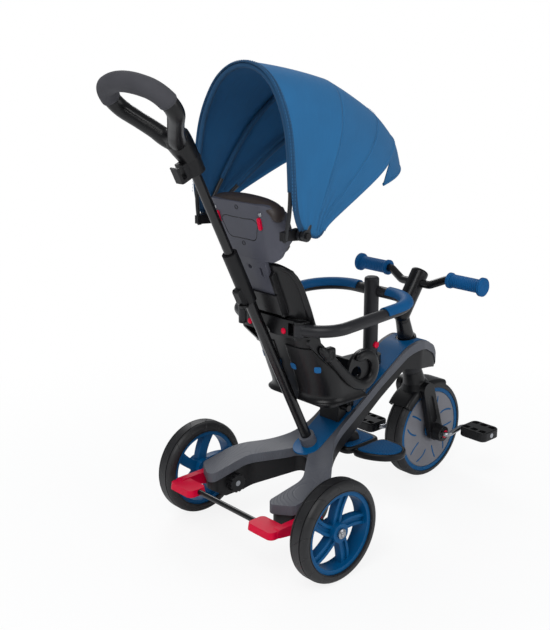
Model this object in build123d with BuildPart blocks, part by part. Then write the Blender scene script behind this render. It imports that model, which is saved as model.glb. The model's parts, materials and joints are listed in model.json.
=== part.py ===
from build123d import *
from math import atan2, cos, degrees, radians, sin, tan
import os

os.makedirs("parts", exist_ok=True)

# Children's tricycle with push bar, safety bar and canopy, in millimetres.
# X points forward, Y to the rider's left, Z up from the floor.
# Lengths named _x are measured forward from the rear axle.
rear_axle_x = -154.5
wheelbase = 510
track = 410
run_gap = 0.05      # radial clearance of everything that turns or slides on a pin
free_gap = 0.4      # clearance between faces that move past each other
seat_gap = 0.2      # clearance of a sleeve or pad that is pushed over a bar
handed = (("left", 1), ("right", -1))

# Rear wheels
rear_radius = 102.5
rear_tyre_depth = 19.5
rear_seat_radius = rear_radius - rear_tyre_depth
rear_tyre_width = 43
tyre_shoulder = 13
sidewall_line = 1.5
tread_groove = 2
rim_wall = 9
rim_inset = 4
spoke_count = 5
spoke_thickness = 17
spoke_width = 21
spoke_swirl = 24
spoke_groove = 4
spoke_groove_width = 9
rear_hub_radius = 19
rear_hub_width = 38
axle_radius = 6
axle_head_radius = 10
axle_head_height = 6

# Front wheel
front_radius = 115
front_tyre_depth = 13.5
front_seat_radius = front_radius - front_tyre_depth
front_tyre_width = 48
front_hub_radius = 18
front_hub_width = 54
cover_radius = front_seat_radius - 9.5
cover_thickness = 3
cover_inset = 3
cover_slots = 5
web_thickness = 6

# Cranks and pedals
crank_rod_radius = 5.5
crank_length = 56
crank_angle = 9
crank_arm_y = 75
crank_bend = 11
pedal_width = 72
pedal_length = 62
pedal_thickness = 22
pedal_wall = 6
pedal_gap = 11

# Steering: lengths along the steering axis are measured from the front axle
steer_tilt = 17
fork_leg_gap = 5
fork_leg_thickness = 14
fork_shoulder = 18
fork_end_radius = 21
fork_pocket = 18
fork_pocket_depth = 3
hub_cap_length = 20
crown_gap = 4
crown_height = 14
fork_crown_radius = 34
fork_crown_taper = 30
collar_height = 27
collar_radius = 26
steerer_radius = 12.5
bush_wall = 4
bush_flange = 2
head_tube_wall = 7
head_tube_length = 86
column_height = 40
column_radius = 19
stem_radius = 20
stem_tilt = -35
stem_length = 108
bar_radius = 9
bar_on_stem = 78
bar_rise = 18
bar_sweep = 10
bar_flat = 40
bar_kink = 40
bar_bend = 22
grip_start = 88
grip_end = 181
grip_radius = 15
grip_flange = 20.5
mudguard_wall = 4
mudguard_front = 22
mudguard_rear = 50
mudguard_width = 62
mudguard_skirt = 18
mudguard_round = 10

# Frame: top line of the spine and the rear arms
arm_end = (-72, rear_radius + 34.5)
spine_foot = (118, rear_radius + 67.5)
spine_top = (wheelbase - 110, front_radius + 230)
head_top = (wheelbase - 62, front_radius + 239)
nose_top = (wheelbase - 8, front_radius + 212)
nose_tip = (wheelbase + 18, front_radius + 172)
top_rounding = [150, 90, 60, 45]
shell_depth = 20
tray_inset = 4
tray_wall = 4
spine_depth = 50
arm_outer = 142
arm_inner = 84
arm_bend = 66
arm_bevel = 30
crotch = 14
waist_taper = 4
outline_rounding = [24, 36, 200, 90, 80, 16, 14, 55, 26]
arm_bottom = rear_radius - 24.5
waist = 44
inlay_depth = 1.5
inlay_proud = 1.5
inlay_half = 33
boss_radius = 20
boss_length = 8

# Push bar
bar_tilt = 25.8
bar_foot = (129, rear_radius + 87.5)
lower_tube_radius = 11
tube_wall = 1.4
lower_tube_length = 470
upper_tube_radius = 9.3
upper_tube_end = 690
tube_overlap = 110
socket_radius = 17
socket_rise = 12
socket_depth = 38
sleeve_radius = 15
sleeve_length = 110
sleeve_lip = 6
handle_neck_start = 650
handle_neck_radius = 16.5
handle_tilt = 44
handle_bar_radius = 12.5
handle_grip_wall = 5
grip_share = 0.58
handle_half_width = 116
handle_shoulder = 160
handle_top = 202
handle_base_rise = 46
handle_crown = 150
handle_corner_bend = 40
handle_base_bend = 30
hook_height = 30

# Brake
brake_rod_radius = 5.5
brake_rod_x = -94
brake_rod_z = 109
brake_lever_thickness = 16
brake_plate = 46
brake_plate_back = 3
brake_plate_wall = 1.5
brake_lever_wall = 3
rod_bite = 12

# Seat
back_lean = 21.8
back_foot = (76, 352)
back_height = 262
back_half = 96
back_depth = 62
back_corner = 48
back_skirt = 48
back_narrowing = 26
wing_depth = 24
seat_wall = 7
pan_rear_x = 90
pan_front_x = 250
pan_half = 94
pan_top = 342
pan_bottom = 282
pan_floor = 300
pan_corner = 42
pan_taper = 16
band_top = (47, 441)
band_low = (146, 346)
band_radius = 11
band_y = 97
lobe = (190, 354)
lobe_radius = 43
lobe_hole = (170, 350)
lobe_hole_radius = 15
tongue_half = 30
tongue_thickness = 20
bar_notch = 3
yoke_half = 100
yoke_rear_x = 14
yoke_front_x = 40
knuckle_room = 11
cushion = 14
cushion_proud = 14
cushion_low = 44
cushion_margin = 22
cushion_taper = 14
cushion_crown = 4
crown_radius = 260
channel_y = 24
channel_radius = 3
cushion_channels = 3
carriage_front_x = 238
carriage_rear_x = 192
carriage_half = 28
carriage_wall = 5
carriage_rib = 4
carriage_rib_count = 3
lever_radius = 7
lever_length = 46

# Safety bar
ring_z = 480
ring_slope = 2.6
ring_radius = 12
ring_front_x = 326
ring_half = 134
ring_corner = 85
ring_bow_x = 56
ring_bow_half = 142
ring_bow_corner = 60
ring_pin = (27, 81)
ring_pin_radius = 4
knuckle_radius = 12.5
lug_thickness = 5
post_radius = 16
post_foot = 338
post_height = 174
post_button_rise = 24
pad_rear_x = 205
pad_thickness = 3
button_travel = 2.5
button_proud = 3
button_gap = 0.3
arm_button_y = 49
arm_button_radius = 6
arm_button_depth = 7
post_button_radius = 7

# Headrest and canopy
head_lean = 14
head_height = 112
head_half = 104
head_depth = 60
head_wing = 36
head_pad_proud = 8
head_corner = 45
head_wall = 7
head_gap = 14
head_pad = 16
strut_half = 48
strut_thickness = 9
strut_length = 118
strut_rail = 8
arm_radius = 6
canopy_pivot = (-20, 664)
canopy_arm_end = 152
bow_radius = 4
bow_eye = 11
fabric = 2.5
fabric_gap = 1.5
arch_shape = (
    (1, 0.04), (1, 0.13), (0.985, 0.27), (0.94, 0.46), (0.86, 0.645), (0.71, 0.795), (0.49, 0.918), (0.25, 0.98),
)
rear_bow = (3, 134, 294)
mid_bow = (31, 144, 306)
front_bow = (53.5, 144, 342)
rear_bow_back = 31
rear_foot = 122
mid_foot = 144
front_foot = 134
socket_half = 5
panel_sag = 0.012
hem_bow = (65.5, 144, 366)
peak_angle = 76
peak_half = 98
peak_side = 262
peak_height = 382
peak_start = 5

# Footrests
footrest_z = 158
footrest_thickness = 16
footrest_front_x = 312
footrest_rear_x = 205
footrest_tip_y = 128
footrest_pin_y = 58
footrest_pin_radius = 5
footrest_knuckle = 10
tread_thickness = 3
tread_margin = 9


def side(y=0):
    """Plane at one Y with local x forward from the rear axle and local y up."""
    return Plane(origin=(rear_axle_x, y, 0), x_dir=(1, 0, 0), z_dir=(0, -1, 0))


def plan(z=0):
    """Level plane with local x forward from the rear axle and local y to the left."""
    return Plane(origin=(rear_axle_x, 0, z), x_dir=(1, 0, 0), z_dir=(0, 0, 1))


def across(x, y, z):
    """Upright plane facing forward, with local x to the left and local y up."""
    return Plane(origin=(rear_axle_x + x, y, z), x_dir=(0, 1, 0), z_dir=(1, 0, 0))


def leaning(point, tilt, rise=0):
    """Plane square to a line that leans back by tilt, rise millimetres up that line."""
    x = rear_axle_x + point[0] - rise * sin(radians(tilt))
    z = point[1] + rise * cos(radians(tilt))
    lean = radians(tilt)
    return Plane(origin=(x, 0, z), x_dir=(cos(lean), 0, sin(lean)), z_dir=(-sin(lean), 0, cos(lean)))


def facing(point, tilt):
    """Plane that leans back by tilt and faces forward, with local x left and local y up it."""
    lean = radians(tilt)
    return Plane(
        origin=(rear_axle_x + point[0], 0, point[1]), x_dir=(0, 1, 0), z_dir=(cos(lean), 0, sin(lean))
    )


def beside(point, tilt, y=0):
    """Plane at one Y with local y up a line that leans back by tilt and local x ahead of it."""
    lean = radians(tilt)
    return Plane(
        origin=(rear_axle_x + point[0], y, point[1]), x_dir=(cos(lean), 0, sin(lean)), z_dir=(0, -1, 0)
    )


def upright(x, y, z):
    """Level plane with its origin at a point."""
    return Plane(origin=(rear_axle_x + x, y, z))


def sideways(x, y, z):
    """Upright plane that faces right, with its origin at a point."""
    return Plane(origin=(rear_axle_x + x, y, z), x_dir=(1, 0, 0), z_dir=(0, -1, 0))


def lateral(x, z):
    """Axis along Y through a point of the middle plane."""
    return Axis((rear_axle_x + x, 0, z), (0, 1, 0))


def up_line(point, tilt, rise):
    """Point rise millimetres up a line that leans back by tilt."""
    return (point[0] - rise * sin(radians(tilt)), point[1] + rise * cos(radians(tilt)))


def save(piece, name):
    """Label a finished piece and write it under its name."""
    piece.part.label = name
    export_step(piece.part, f"parts/{name}.step")


def tube(plane, length, outer, inner=0):
    """Round bar or tube that starts on a plane, added to the part being built."""
    with BuildSketch(plane) as ring:
        Circle(outer)
        if inner:
            Circle(inner, mode=Mode.SUBTRACT)
    extrude(ring.sketch, amount=length)


front_axle = (wheelbase, front_radius)
rear_hub_inner = track / 2 - rear_hub_width / 2
rear_hub_outer = track / 2 + rear_hub_width / 2

# Rear wheels: tyre, spoked rim
for hand_name, hand in handed:
    wheel_y = hand * track / 2
    with BuildPart() as rear_tyre:
        with BuildSketch(across(0, wheel_y, rear_radius)) as tyre_profile:
            with Locations((0, (rear_radius + rear_seat_radius) / 2)):
                Rectangle(rear_tyre_width, rear_radius - rear_seat_radius)
            fillet(tyre_profile.vertices().group_by(Axis.Y)[-1], tyre_shoulder)
            with Locations((-rear_tyre_width / 4, rear_radius), (rear_tyre_width / 4, rear_radius)):
                Rectangle(tread_groove, 2 * tread_groove, mode=Mode.SUBTRACT)
            for wall_y in (-rear_tyre_width / 2, rear_tyre_width / 2):
                with Locations((wall_y, rear_seat_radius + sidewall_line)):
                    Rectangle(2 * sidewall_line, sidewall_line, mode=Mode.SUBTRACT)
        revolve(axis=lateral(0, rear_radius))
    save(rear_tyre, f"rear_tyre_{hand_name}")

barrel_width = rear_tyre_width - 2 * rim_inset
barrel_inner = rear_seat_radius - rim_wall
spoke_line = ThreePointArc(
    (rear_hub_radius, 0), ((rear_hub_radius + barrel_inner) / 2, -spoke_swirl / 3),
    (barrel_inner, -spoke_swirl),
)
with BuildPart() as rear_rim:
    with BuildSketch(across(0, track / 2, rear_radius)):
        with Locations((0, rear_seat_radius - rim_wall / 2)):
            Rectangle(barrel_width, rim_wall)
        with Locations((0, (rear_hub_radius + axle_radius + run_gap) / 2)):
            Rectangle(rear_hub_width, rear_hub_radius - axle_radius - run_gap)
    revolve(axis=lateral(0, rear_radius))
    with BuildSketch(side(track / 2)):
        with Locations((0, rear_radius)):
            with PolarLocations(0, spoke_count, start_angle=90):
                SlotArc(spoke_line, spoke_width)
            Circle(rear_seat_radius - rim_wall / 2, mode=Mode.INTERSECT)
    extrude(amount=spoke_thickness / 2, both=True)
    with BuildSketch(side(track / 2 + spoke_thickness / 2)):
        with Locations((0, rear_radius)):
            with PolarLocations(0, spoke_count, start_angle=90):
                SlotArc(spoke_line, spoke_groove_width)
            Circle(barrel_inner, mode=Mode.INTERSECT)
            Circle(rear_hub_radius, mode=Mode.SUBTRACT)
    extrude(amount=spoke_groove, mode=Mode.SUBTRACT)
    with BuildSketch(side(track / 2)):
        with Locations((0, rear_radius)):
            Circle(axle_radius + run_gap)
    extrude(amount=rear_hub_width, both=True, mode=Mode.SUBTRACT)
save(rear_rim, "rear_rim_left")

with BuildPart() as rear_rim_mirror:
    mirror(rear_rim.part, about=Plane.XZ)
save(rear_rim_mirror, "rear_rim_right")

# Front wheel: tyre, drum rim with raised dashes, slotted covers
cover_face = front_tyre_width / 2 - cover_inset
rib_half = 3


def cover_marks():
    """Dashes of the wheel covers: one radial and two slanted ones for each fifth of the disc."""
    with Locations(front_axle):
        with PolarLocations(cover_radius * 0.72, cover_slots, start_angle=54):
            SlotOverall(cover_radius * 0.3, 2 * rib_half)
        with PolarLocations(cover_radius * 0.5, cover_slots, start_angle=82):
            SlotOverall(cover_radius * 0.28, 2 * rib_half, rotation=48)
        with PolarLocations(cover_radius * 0.5, cover_slots, start_angle=26):
            SlotOverall(cover_radius * 0.28, 2 * rib_half, rotation=-48)


with BuildPart() as front_tyre:
    with BuildSketch(across(wheelbase, 0, front_radius)) as tyre_profile:
        with Locations((0, (front_radius + front_seat_radius) / 2)):
            Rectangle(front_tyre_width, front_radius - front_seat_radius)
        fillet(tyre_profile.vertices().group_by(Axis.Y)[-1], tyre_shoulder * 0.9)
        with Locations((-front_tyre_width / 4, front_radius), (front_tyre_width / 4, front_radius)):
            Rectangle(tread_groove, 2 * tread_groove, mode=Mode.SUBTRACT)
    revolve(axis=lateral(*front_axle))
save(front_tyre, "front_tyre")

with BuildPart() as front_rim:
    with BuildSketch(across(wheelbase, 0, front_radius)):
        with Locations((0, (front_seat_radius + cover_radius) / 2)):
            Rectangle(front_tyre_width - 2 * rim_inset / 2, front_seat_radius - cover_radius)
        with Locations((0, (cover_radius + crank_rod_radius) / 2)):
            Rectangle(web_thickness, cover_radius - crank_rod_radius + 2)
        with Locations((0, (front_hub_radius + crank_rod_radius) / 2)):
            Rectangle(front_hub_width, front_hub_radius - crank_rod_radius)
    revolve(axis=lateral(*front_axle))
    with BuildSketch(side()):
        cover_marks()
    extrude(amount=cover_face, both=True)
    with BuildSketch(side()):
        with Locations(front_axle):
            Circle(crank_rod_radius)
    extrude(amount=front_hub_width, both=True, mode=Mode.SUBTRACT)
save(front_rim, "front_rim")

with BuildPart() as front_covers:
    for hand_name, hand in handed:
        with BuildSketch(side(hand * cover_face)):
            with Locations(front_axle):
                Circle(cover_radius)
                Circle(front_hub_radius, mode=Mode.SUBTRACT)
        extrude(amount=hand * cover_thickness)
    with BuildSketch(side()):
        cover_marks()
    extrude(amount=front_tyre_width, both=True, mode=Mode.SUBTRACT)
save(front_covers, "front_covers")

# Cranks: one bent rod through the hub, with a pedal on each end
crank_reach = crank_length * cos(radians(crank_angle))
crank_lift = crank_length * sin(radians(crank_angle))
pedal_start = crank_arm_y + pedal_gap
pedal_end = pedal_start + pedal_width
with BuildPart() as crank:
    with BuildLine() as crank_path:
        FilletPolyline(
            (rear_axle_x + wheelbase - crank_reach, pedal_end, front_radius - crank_lift),
            (rear_axle_x + wheelbase - crank_reach, crank_arm_y, front_radius - crank_lift),
            (rear_axle_x + wheelbase, crank_arm_y, front_radius),
            (rear_axle_x + wheelbase, -crank_arm_y, front_radius),
            (rear_axle_x + wheelbase + crank_reach, -crank_arm_y, front_radius + crank_lift),
            (rear_axle_x + wheelbase + crank_reach, -pedal_end, front_radius + crank_lift),
            radius=crank_bend,
        )
    with BuildSketch(side(pedal_end)):
        with Locations((wheelbase - crank_reach, front_radius - crank_lift)):
            Circle(crank_rod_radius)
    sweep(path=crank_path.line)
save(crank, "crank")

for hand_name, hand in handed:
    spindle = (wheelbase - hand * crank_reach, front_radius - hand * crank_lift)
    pedal_middle = hand * (pedal_start + pedal_end) / 2
    with BuildPart() as pedal:
        with BuildSketch(plan(spindle[1])):
            with Locations((spindle[0], pedal_middle)):
                RectangleRounded(pedal_length, pedal_width, 14)
        extrude(amount=pedal_thickness / 2, both=True)
        chamfer(pedal.edges().group_by(Axis.Z)[-1] + pedal.edges().group_by(Axis.Z)[0], 2)
        pocket_length = pedal_length / 2 - pedal_wall - crank_rod_radius - pedal_wall
        with BuildSketch(plan(spindle[1])):
            for across_x in (-1, 1):
                with Locations((spindle[0] + across_x * (pedal_length / 2 - pedal_wall - pocket_length / 2),
                                pedal_middle)):
                    with GridLocations(0, pedal_width / 3.2, 1, 3):
                        RectangleRounded(pocket_length, pedal_width / 3.2 - pedal_wall, 3)
        extrude(amount=pedal_thickness, both=True, mode=Mode.SUBTRACT)
        with BuildSketch(side(pedal_middle)):
            with Locations(spindle):
                Circle(crank_rod_radius + run_gap)
        extrude(amount=pedal_width, both=True, mode=Mode.SUBTRACT)
    save(pedal, f"pedal_{hand_name}")

# Fork with its mudguard, steerer and bushes
leg_inner = front_tyre_width / 2 + fork_leg_gap
leg_outer = leg_inner + fork_leg_thickness
crown_bottom = front_radius + crown_gap
crown_top = crown_bottom + crown_height
collar_top = crown_top + collar_height
head_bottom = collar_top + bush_flange
head_end = head_bottom + head_tube_length
column_bottom = head_end + bush_flange
column_top = column_bottom + column_height
bush_radius = steerer_radius + bush_wall
head_tube_radius = bush_radius + head_tube_wall
stem_joint = up_line(front_axle, steer_tilt, column_top + stem_radius)
bar_centre = up_line(stem_joint, stem_tilt, bar_on_stem)

guard_start = radians(-mudguard_rear)
guard_plane = Plane(
    origin=(rear_axle_x + wheelbase, 0, front_radius), x_dir=(0, 1, 0),
    z_dir=(cos(guard_start), 0, -sin(guard_start)),
)
with BuildPart() as fork:
    for hand_name, hand in handed:
        with BuildSketch(beside(front_axle, steer_tilt, hand * leg_inner)):
            Circle(fork_end_radius)
            with Locations((0, crown_bottom - mudguard_wall)):
                Circle(fork_shoulder)
            make_hull()
        extrude(amount=-hand * fork_leg_thickness)
        with BuildSketch(beside(front_axle, steer_tilt, hand * leg_outer)):
            with Locations((0, crown_bottom / 2 + 4)):
                SlotOverall(crown_bottom - 2 * fork_end_radius - 6, fork_pocket, rotation=90)
        extrude(amount=hand * fork_pocket_depth, mode=Mode.SUBTRACT)
    with BuildSketch(leaning(front_axle, steer_tilt, crown_bottom)):
        Circle(fork_crown_radius)
    extrude(amount=crown_height, taper=fork_crown_taper)
    with BuildSketch(leaning(front_axle, steer_tilt, crown_top)):
        Circle(collar_radius)
    extrude(amount=collar_height, taper=8)
    with BuildSketch(guard_plane) as guard_profile:
        with Locations((0, crown_bottom + mudguard_wall - mudguard_skirt / 2)):
            Rectangle(mudguard_width, mudguard_skirt)
        fillet(guard_profile.vertices().group_by(Axis.Y)[-1], mudguard_round)
        with Locations((0, crown_bottom - mudguard_skirt / 2)):
            Rectangle(mudguard_width - 2 * mudguard_wall, mudguard_skirt, mode=Mode.SUBTRACT)
    revolve(axis=lateral(*front_axle), revolution_arc=mudguard_front + mudguard_rear)
    with BuildSketch(leaning(front_axle, steer_tilt, crown_bottom + mudguard_wall)):
        Circle(steerer_radius)
    extrude(amount=collar_height + crown_height, mode=Mode.SUBTRACT)
    with BuildSketch(side()):
        with Locations(front_axle):
            Circle(crank_rod_radius + run_gap)
    extrude(amount=2 * leg_outer, both=True, mode=Mode.SUBTRACT)
save(fork, "fork")

with BuildPart() as hub_caps:
    for hand_name, hand in handed:
        with BuildSketch(side(hand * leg_outer)):
            with Locations(front_axle):
                Circle(fork_end_radius - 1)
        extrude(amount=-hand * hub_cap_length, taper=6)
    with BuildSketch(side()):
        with Locations(front_axle):
            Circle(crank_rod_radius + free_gap)
            with PolarLocations(crank_rod_radius + 5.5, 4, start_angle=45):
                SlotOverall(8, 3.5)
    extrude(amount=2 * leg_outer, both=True, mode=Mode.SUBTRACT)
save(hub_caps, "hub_caps")

with BuildPart() as head_bushes:
    tube(leaning(front_axle, steer_tilt, collar_top + free_gap), bush_flange - free_gap,
         head_tube_radius - 1, steerer_radius + run_gap)
    tube(leaning(front_axle, steer_tilt, head_bottom), head_tube_length / 4, bush_radius, steerer_radius + run_gap)
    tube(leaning(front_axle, steer_tilt, head_end - head_tube_length / 4), head_tube_length / 4,
         bush_radius, steerer_radius + run_gap)
    tube(leaning(front_axle, steer_tilt, head_end), bush_flange - free_gap,
         head_tube_radius - 1, steerer_radius + run_gap)
save(head_bushes, "head_bushes")

with BuildPart() as head_tube:
    tube(leaning(front_axle, steer_tilt, head_bottom), head_tube_length, head_tube_radius, bush_radius)
save(head_tube, "head_tube")

with BuildPart() as column:
    with BuildSketch(leaning(front_axle, steer_tilt, column_bottom)):
        Circle(column_radius)
    extrude(amount=column_height, taper=4)
    tube(leaning(front_axle, steer_tilt, crown_bottom + mudguard_wall),
         column_bottom - crown_bottom - mudguard_wall, steerer_radius)
save(column, "steering_column")

# Angled stem, handlebar and grips
column_top_radius = column_radius - column_height * tan(radians(4))
with BuildPart() as stem:
    tube(leaning(front_axle, steer_tilt, column_top), stem_radius, column_top_radius)
    with Locations((rear_axle_x + stem_joint[0], 0, stem_joint[1])):
        Sphere(stem_radius)
    tube(leaning(stem_joint, stem_tilt), stem_length, stem_radius)
    fillet(stem.edges().group_by(Axis.Z)[-1], 6)
    split(bisect_by=leaning(front_axle, steer_tilt, column_top), keep=Keep.TOP)
    with BuildSketch(side()):
        with Locations(bar_centre):
            Circle(bar_radius)
    extrude(amount=2 * stem_radius, both=True, mode=Mode.SUBTRACT)
save(stem, "handlebar_stem")

grip_x = bar_centre[0] + bar_sweep
grip_z = bar_centre[1] + bar_rise
with BuildPart() as handlebar:
    with BuildLine() as bar_path:
        FilletPolyline(
            (rear_axle_x + grip_x, -grip_end + 5, grip_z),
            (rear_axle_x + grip_x, -bar_flat - bar_kink, grip_z),
            (rear_axle_x + bar_centre[0], -bar_flat, bar_centre[1]),
            (rear_axle_x + bar_centre[0], bar_flat, bar_centre[1]),
            (rear_axle_x + grip_x, bar_flat + bar_kink, grip_z),
            (rear_axle_x + grip_x, grip_end - 5, grip_z),
            radius=bar_bend,
        )
    with BuildSketch(side(-grip_end + 5)):
        with Locations((grip_x, grip_z)):
            Circle(bar_radius)
    sweep(path=bar_path.line)
save(handlebar, "handlebar")

with BuildPart() as grips:
    for hand_name, hand in handed:
        with BuildSketch(across(grip_x, 0, grip_z)):
            with BuildLine():
                Polyline(
                    (hand * grip_start, bar_radius), (hand * grip_start, grip_flange - 3),
                    (hand * (grip_start + 5), grip_flange - 3), (hand * (grip_start + 8), grip_radius),
                    (hand * (grip_end - 12), grip_radius), (hand * (grip_end - 9), grip_flange),
                    (hand * (grip_end - 3), grip_flange), (hand * grip_end, grip_flange - 4),
                    (hand * grip_end, 0), (hand * (grip_end - 5), 0), (hand * (grip_end - 5), bar_radius),
                    close=True,
                )
            make_face()
        revolve(axis=lateral(grip_x, grip_z))
save(grips, "handlebar_grips")

# Frame: grey top shell, black under-tray and the blue inlay along the spine
spine_angle = degrees(atan2(spine_top[1] - spine_foot[1], spine_top[0] - spine_foot[0]))
top_line = (arm_end, spine_foot, spine_top, head_top, nose_top, nose_tip)


def top_curve(drop):
    """Side view of the top line of the frame, lower by drop, with its bends rounded."""
    return FilletPolyline(*[(x, z - drop) for x, z in top_line], radius=top_rounding)


def top_band(high, low):
    """Side view of the band between two depths below the top line."""
    with BuildLine() as band:
        upper = top_curve(high)
        lower = top_curve(low)
        Line(upper @ 0, lower @ 0)
        Line(upper @ 1, lower @ 1)
    make_face(band.edges())


def frame_outline(inset=0):
    """Plan view of the frame: a spine that opens into two rear arms."""
    left = [
        (nose_tip[0] - inset, waist / 2), (head_top[0] - inset, waist + 2 - inset),
        (spine_top[0] - arm_inner, waist - waist_taper - inset), (spine_foot[0] + waist, waist - inset),
        (spine_foot[0] - arm_bend, arm_outer - inset), (arm_end[0] + arm_bevel + inset, arm_outer - inset),
        (arm_end[0] + inset, arm_inner + inset), (spine_foot[0] - arm_inner, arm_inner + inset),
        (spine_foot[0] + inset, crotch),
    ]
    right = [(x, -y) for x, y in reversed(left)]
    with BuildLine() as outline:
        FilletPolyline(*left, *right, radius=outline_rounding + outline_rounding[::-1], close=True)
    make_face(outline.edges())


tray_bottom = (
    (arm_end[0] + 8, arm_end[1] - 34), (-24, arm_bottom), (24, arm_bottom),
    (spine_foot[0] + 10, spine_foot[1] - spine_depth), (spine_top[0] - 10, spine_top[1] - spine_depth),
    (nose_top[0] - 15, nose_top[1] - spine_depth),
)
socket_start = up_line(bar_foot, bar_tilt, -socket_depth)


def inlay_outline():
    """Plan view of the inlay: round about the push bar socket and about the head."""
    with Locations((bar_foot[0] + 2, 0)):
        Circle(inlay_half)
    with Locations((nose_top[0] - inlay_half, 0)):
        Circle(inlay_half + 2)
    make_hull()


with BuildPart() as frame_inlay:
    with BuildSketch(plan()):
        inlay_outline()
    extrude(amount=head_top[1] + 50)
    with BuildSketch(side()):
        top_band(-inlay_proud, inlay_depth)
    extrude(amount=2 * waist, both=True, mode=Mode.INTERSECT)
    with BuildSketch(leaning(front_axle, steer_tilt, head_bottom)):
        Circle(head_tube_radius)
    extrude(amount=2 * head_tube_length, mode=Mode.SUBTRACT)
    with BuildSketch(leaning(socket_start, bar_tilt)):
        Circle(socket_radius)
    extrude(amount=2 * socket_depth, mode=Mode.SUBTRACT)
save(frame_inlay, "frame_inlay")

with BuildPart() as frame_top:
    with BuildSketch(plan()):
        frame_outline()
    extrude(amount=head_top[1] + 50)
    with BuildSketch(side()):
        top_band(0, shell_depth)
    extrude(amount=2 * arm_outer, both=True, mode=Mode.INTERSECT)
    with BuildSketch(leaning(socket_start, bar_tilt)):
        Circle(socket_radius)
    extrude(amount=socket_depth + socket_rise)
    add(frame_inlay.part, mode=Mode.SUBTRACT)
    with BuildSketch(leaning(front_axle, steer_tilt, head_bottom)):
        Circle(head_tube_radius)
    extrude(amount=2 * head_tube_length, mode=Mode.SUBTRACT)
    with BuildSketch(leaning(bar_foot, bar_tilt, -socket_depth + tube_wall * 2)):
        Circle(lower_tube_radius)
    extrude(amount=2 * socket_depth, mode=Mode.SUBTRACT)
save(frame_top, "frame_top_shell")

rib_places = (30, 90, 160, 220, 280)
with BuildPart() as frame_tray:
    with BuildSketch(plan()):
        frame_outline(tray_inset)
    extrude(amount=head_top[1])
    with BuildSketch(side()):
        with BuildLine():
            upper = top_curve(shell_depth)
            Polyline(upper @ 1, *reversed(tray_bottom), upper @ 0)
        make_face()
    extrude(amount=2 * arm_outer, both=True, mode=Mode.INTERSECT)
    with BuildSketch(plan()):
        frame_outline(tray_inset + tray_wall)
        for rib in rib_places:
            with Locations((spine_foot[0] + 20 + rib, 0)):
                Rectangle(tray_wall, 2 * waist, mode=Mode.SUBTRACT)
    extrude(amount=head_top[1], mode=Mode.SUBTRACT)
    for hand_name, hand in handed:
        with BuildSketch(side(hand * (arm_inner - boss_length))):
            with Locations((0, rear_radius)):
                Circle(boss_radius)
                with PolarLocations(boss_radius, 12):
                    Circle(2.5, mode=Mode.SUBTRACT)
        extrude(amount=-hand * (arm_outer - arm_inner + boss_length))
    with BuildSketch(side()):
        with Locations((0, rear_radius)):
            Circle(axle_radius)
    extrude(amount=2 * arm_outer, both=True, mode=Mode.SUBTRACT)
    with BuildSketch(leaning(front_axle, steer_tilt, head_bottom)):
        Circle(head_tube_radius)
    extrude(amount=2 * head_tube_length, mode=Mode.SUBTRACT)
    with BuildSketch(leaning(socket_start, bar_tilt)):
        Circle(socket_radius)
    extrude(amount=2 * socket_depth, mode=Mode.SUBTRACT)
save(frame_tray, "frame_under_tray")

# Rear axles and the parking brake on them
lever_inner = arm_outer + free_gap
lever_outer = lever_inner + brake_lever_thickness
with BuildPart() as rear_axles:
    for hand_name, hand in handed:
        with BuildSketch(across(0, 0, rear_radius)):
            with BuildLine():
                Polyline(
                    (hand * (arm_inner - boss_length), 0), (hand * (arm_inner - boss_length), axle_radius),
                    (hand * (lever_outer + free_gap), axle_radius),
                    (hand * (lever_outer + free_gap), axle_radius + 4),
                    (hand * (rear_hub_inner - free_gap), axle_radius + 4),
                    (hand * (rear_hub_inner - free_gap), axle_radius),
                    (hand * (rear_hub_outer + free_gap), axle_radius),
                    (hand * (rear_hub_outer + free_gap), axle_head_radius),
                    (hand * (rear_hub_outer + axle_head_height - 2), axle_head_radius),
                    (hand * (rear_hub_outer + axle_head_height), axle_head_radius - 3),
                    (hand * (rear_hub_outer + axle_head_height), 0), close=True,
                )
            make_face()
        revolve(axis=lateral(0, rear_radius))
save(rear_axles, "rear_axles")

plate_inner = arm_inner + 2
with BuildPart() as brake_pedals:
    for hand_name, hand in handed:
        with BuildSketch(side(hand * lever_inner)):
            with Locations((0, rear_radius)):
                Circle(boss_radius - 4)
            with Locations((brake_rod_x, brake_rod_z)):
                Circle(brake_rod_radius + brake_lever_wall)
            make_hull()
        extrude(amount=-hand * brake_lever_thickness)
        with BuildSketch(plan(brake_rod_z - brake_rod_radius - brake_plate_wall)):
            with Locations((brake_rod_x - brake_plate_back, hand * (plate_inner + lever_outer) / 2)):
                RectangleRounded(brake_plate, lever_outer - plate_inner, 12)
        extrude(amount=2 * (brake_rod_radius + brake_plate_wall), taper=8)
    with BuildSketch(side()):
        with Locations((0, rear_radius)):
            Circle(axle_radius + run_gap)
    extrude(amount=2 * arm_outer, both=True, mode=Mode.SUBTRACT)
    with BuildSketch(side(plate_inner + rod_bite)):
        with Locations((brake_rod_x, brake_rod_z)):
            Circle(brake_rod_radius)
    extrude(amount=2 * (plate_inner + rod_bite), mode=Mode.SUBTRACT)
save(brake_pedals, "brake_pedals")

with BuildPart() as brake_rod:
    tube(sideways(brake_rod_x, plate_inner + rod_bite, brake_rod_z), 2 * (plate_inner + rod_bite), brake_rod_radius)
save(brake_rod, "brake_rod")

# Push bar: lower tube in the frame, clamp sleeve, upper tube with the handle
sleeve_start = lower_tube_length + sleeve_lip - sleeve_length
with BuildPart() as lower_tube:
    tube(leaning(bar_foot, bar_tilt, -socket_depth + 2 * tube_wall),
         lower_tube_length + socket_depth - 2 * tube_wall, lower_tube_radius, upper_tube_radius + run_gap)
save(lower_tube, "pushbar_lower_tube")

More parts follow.
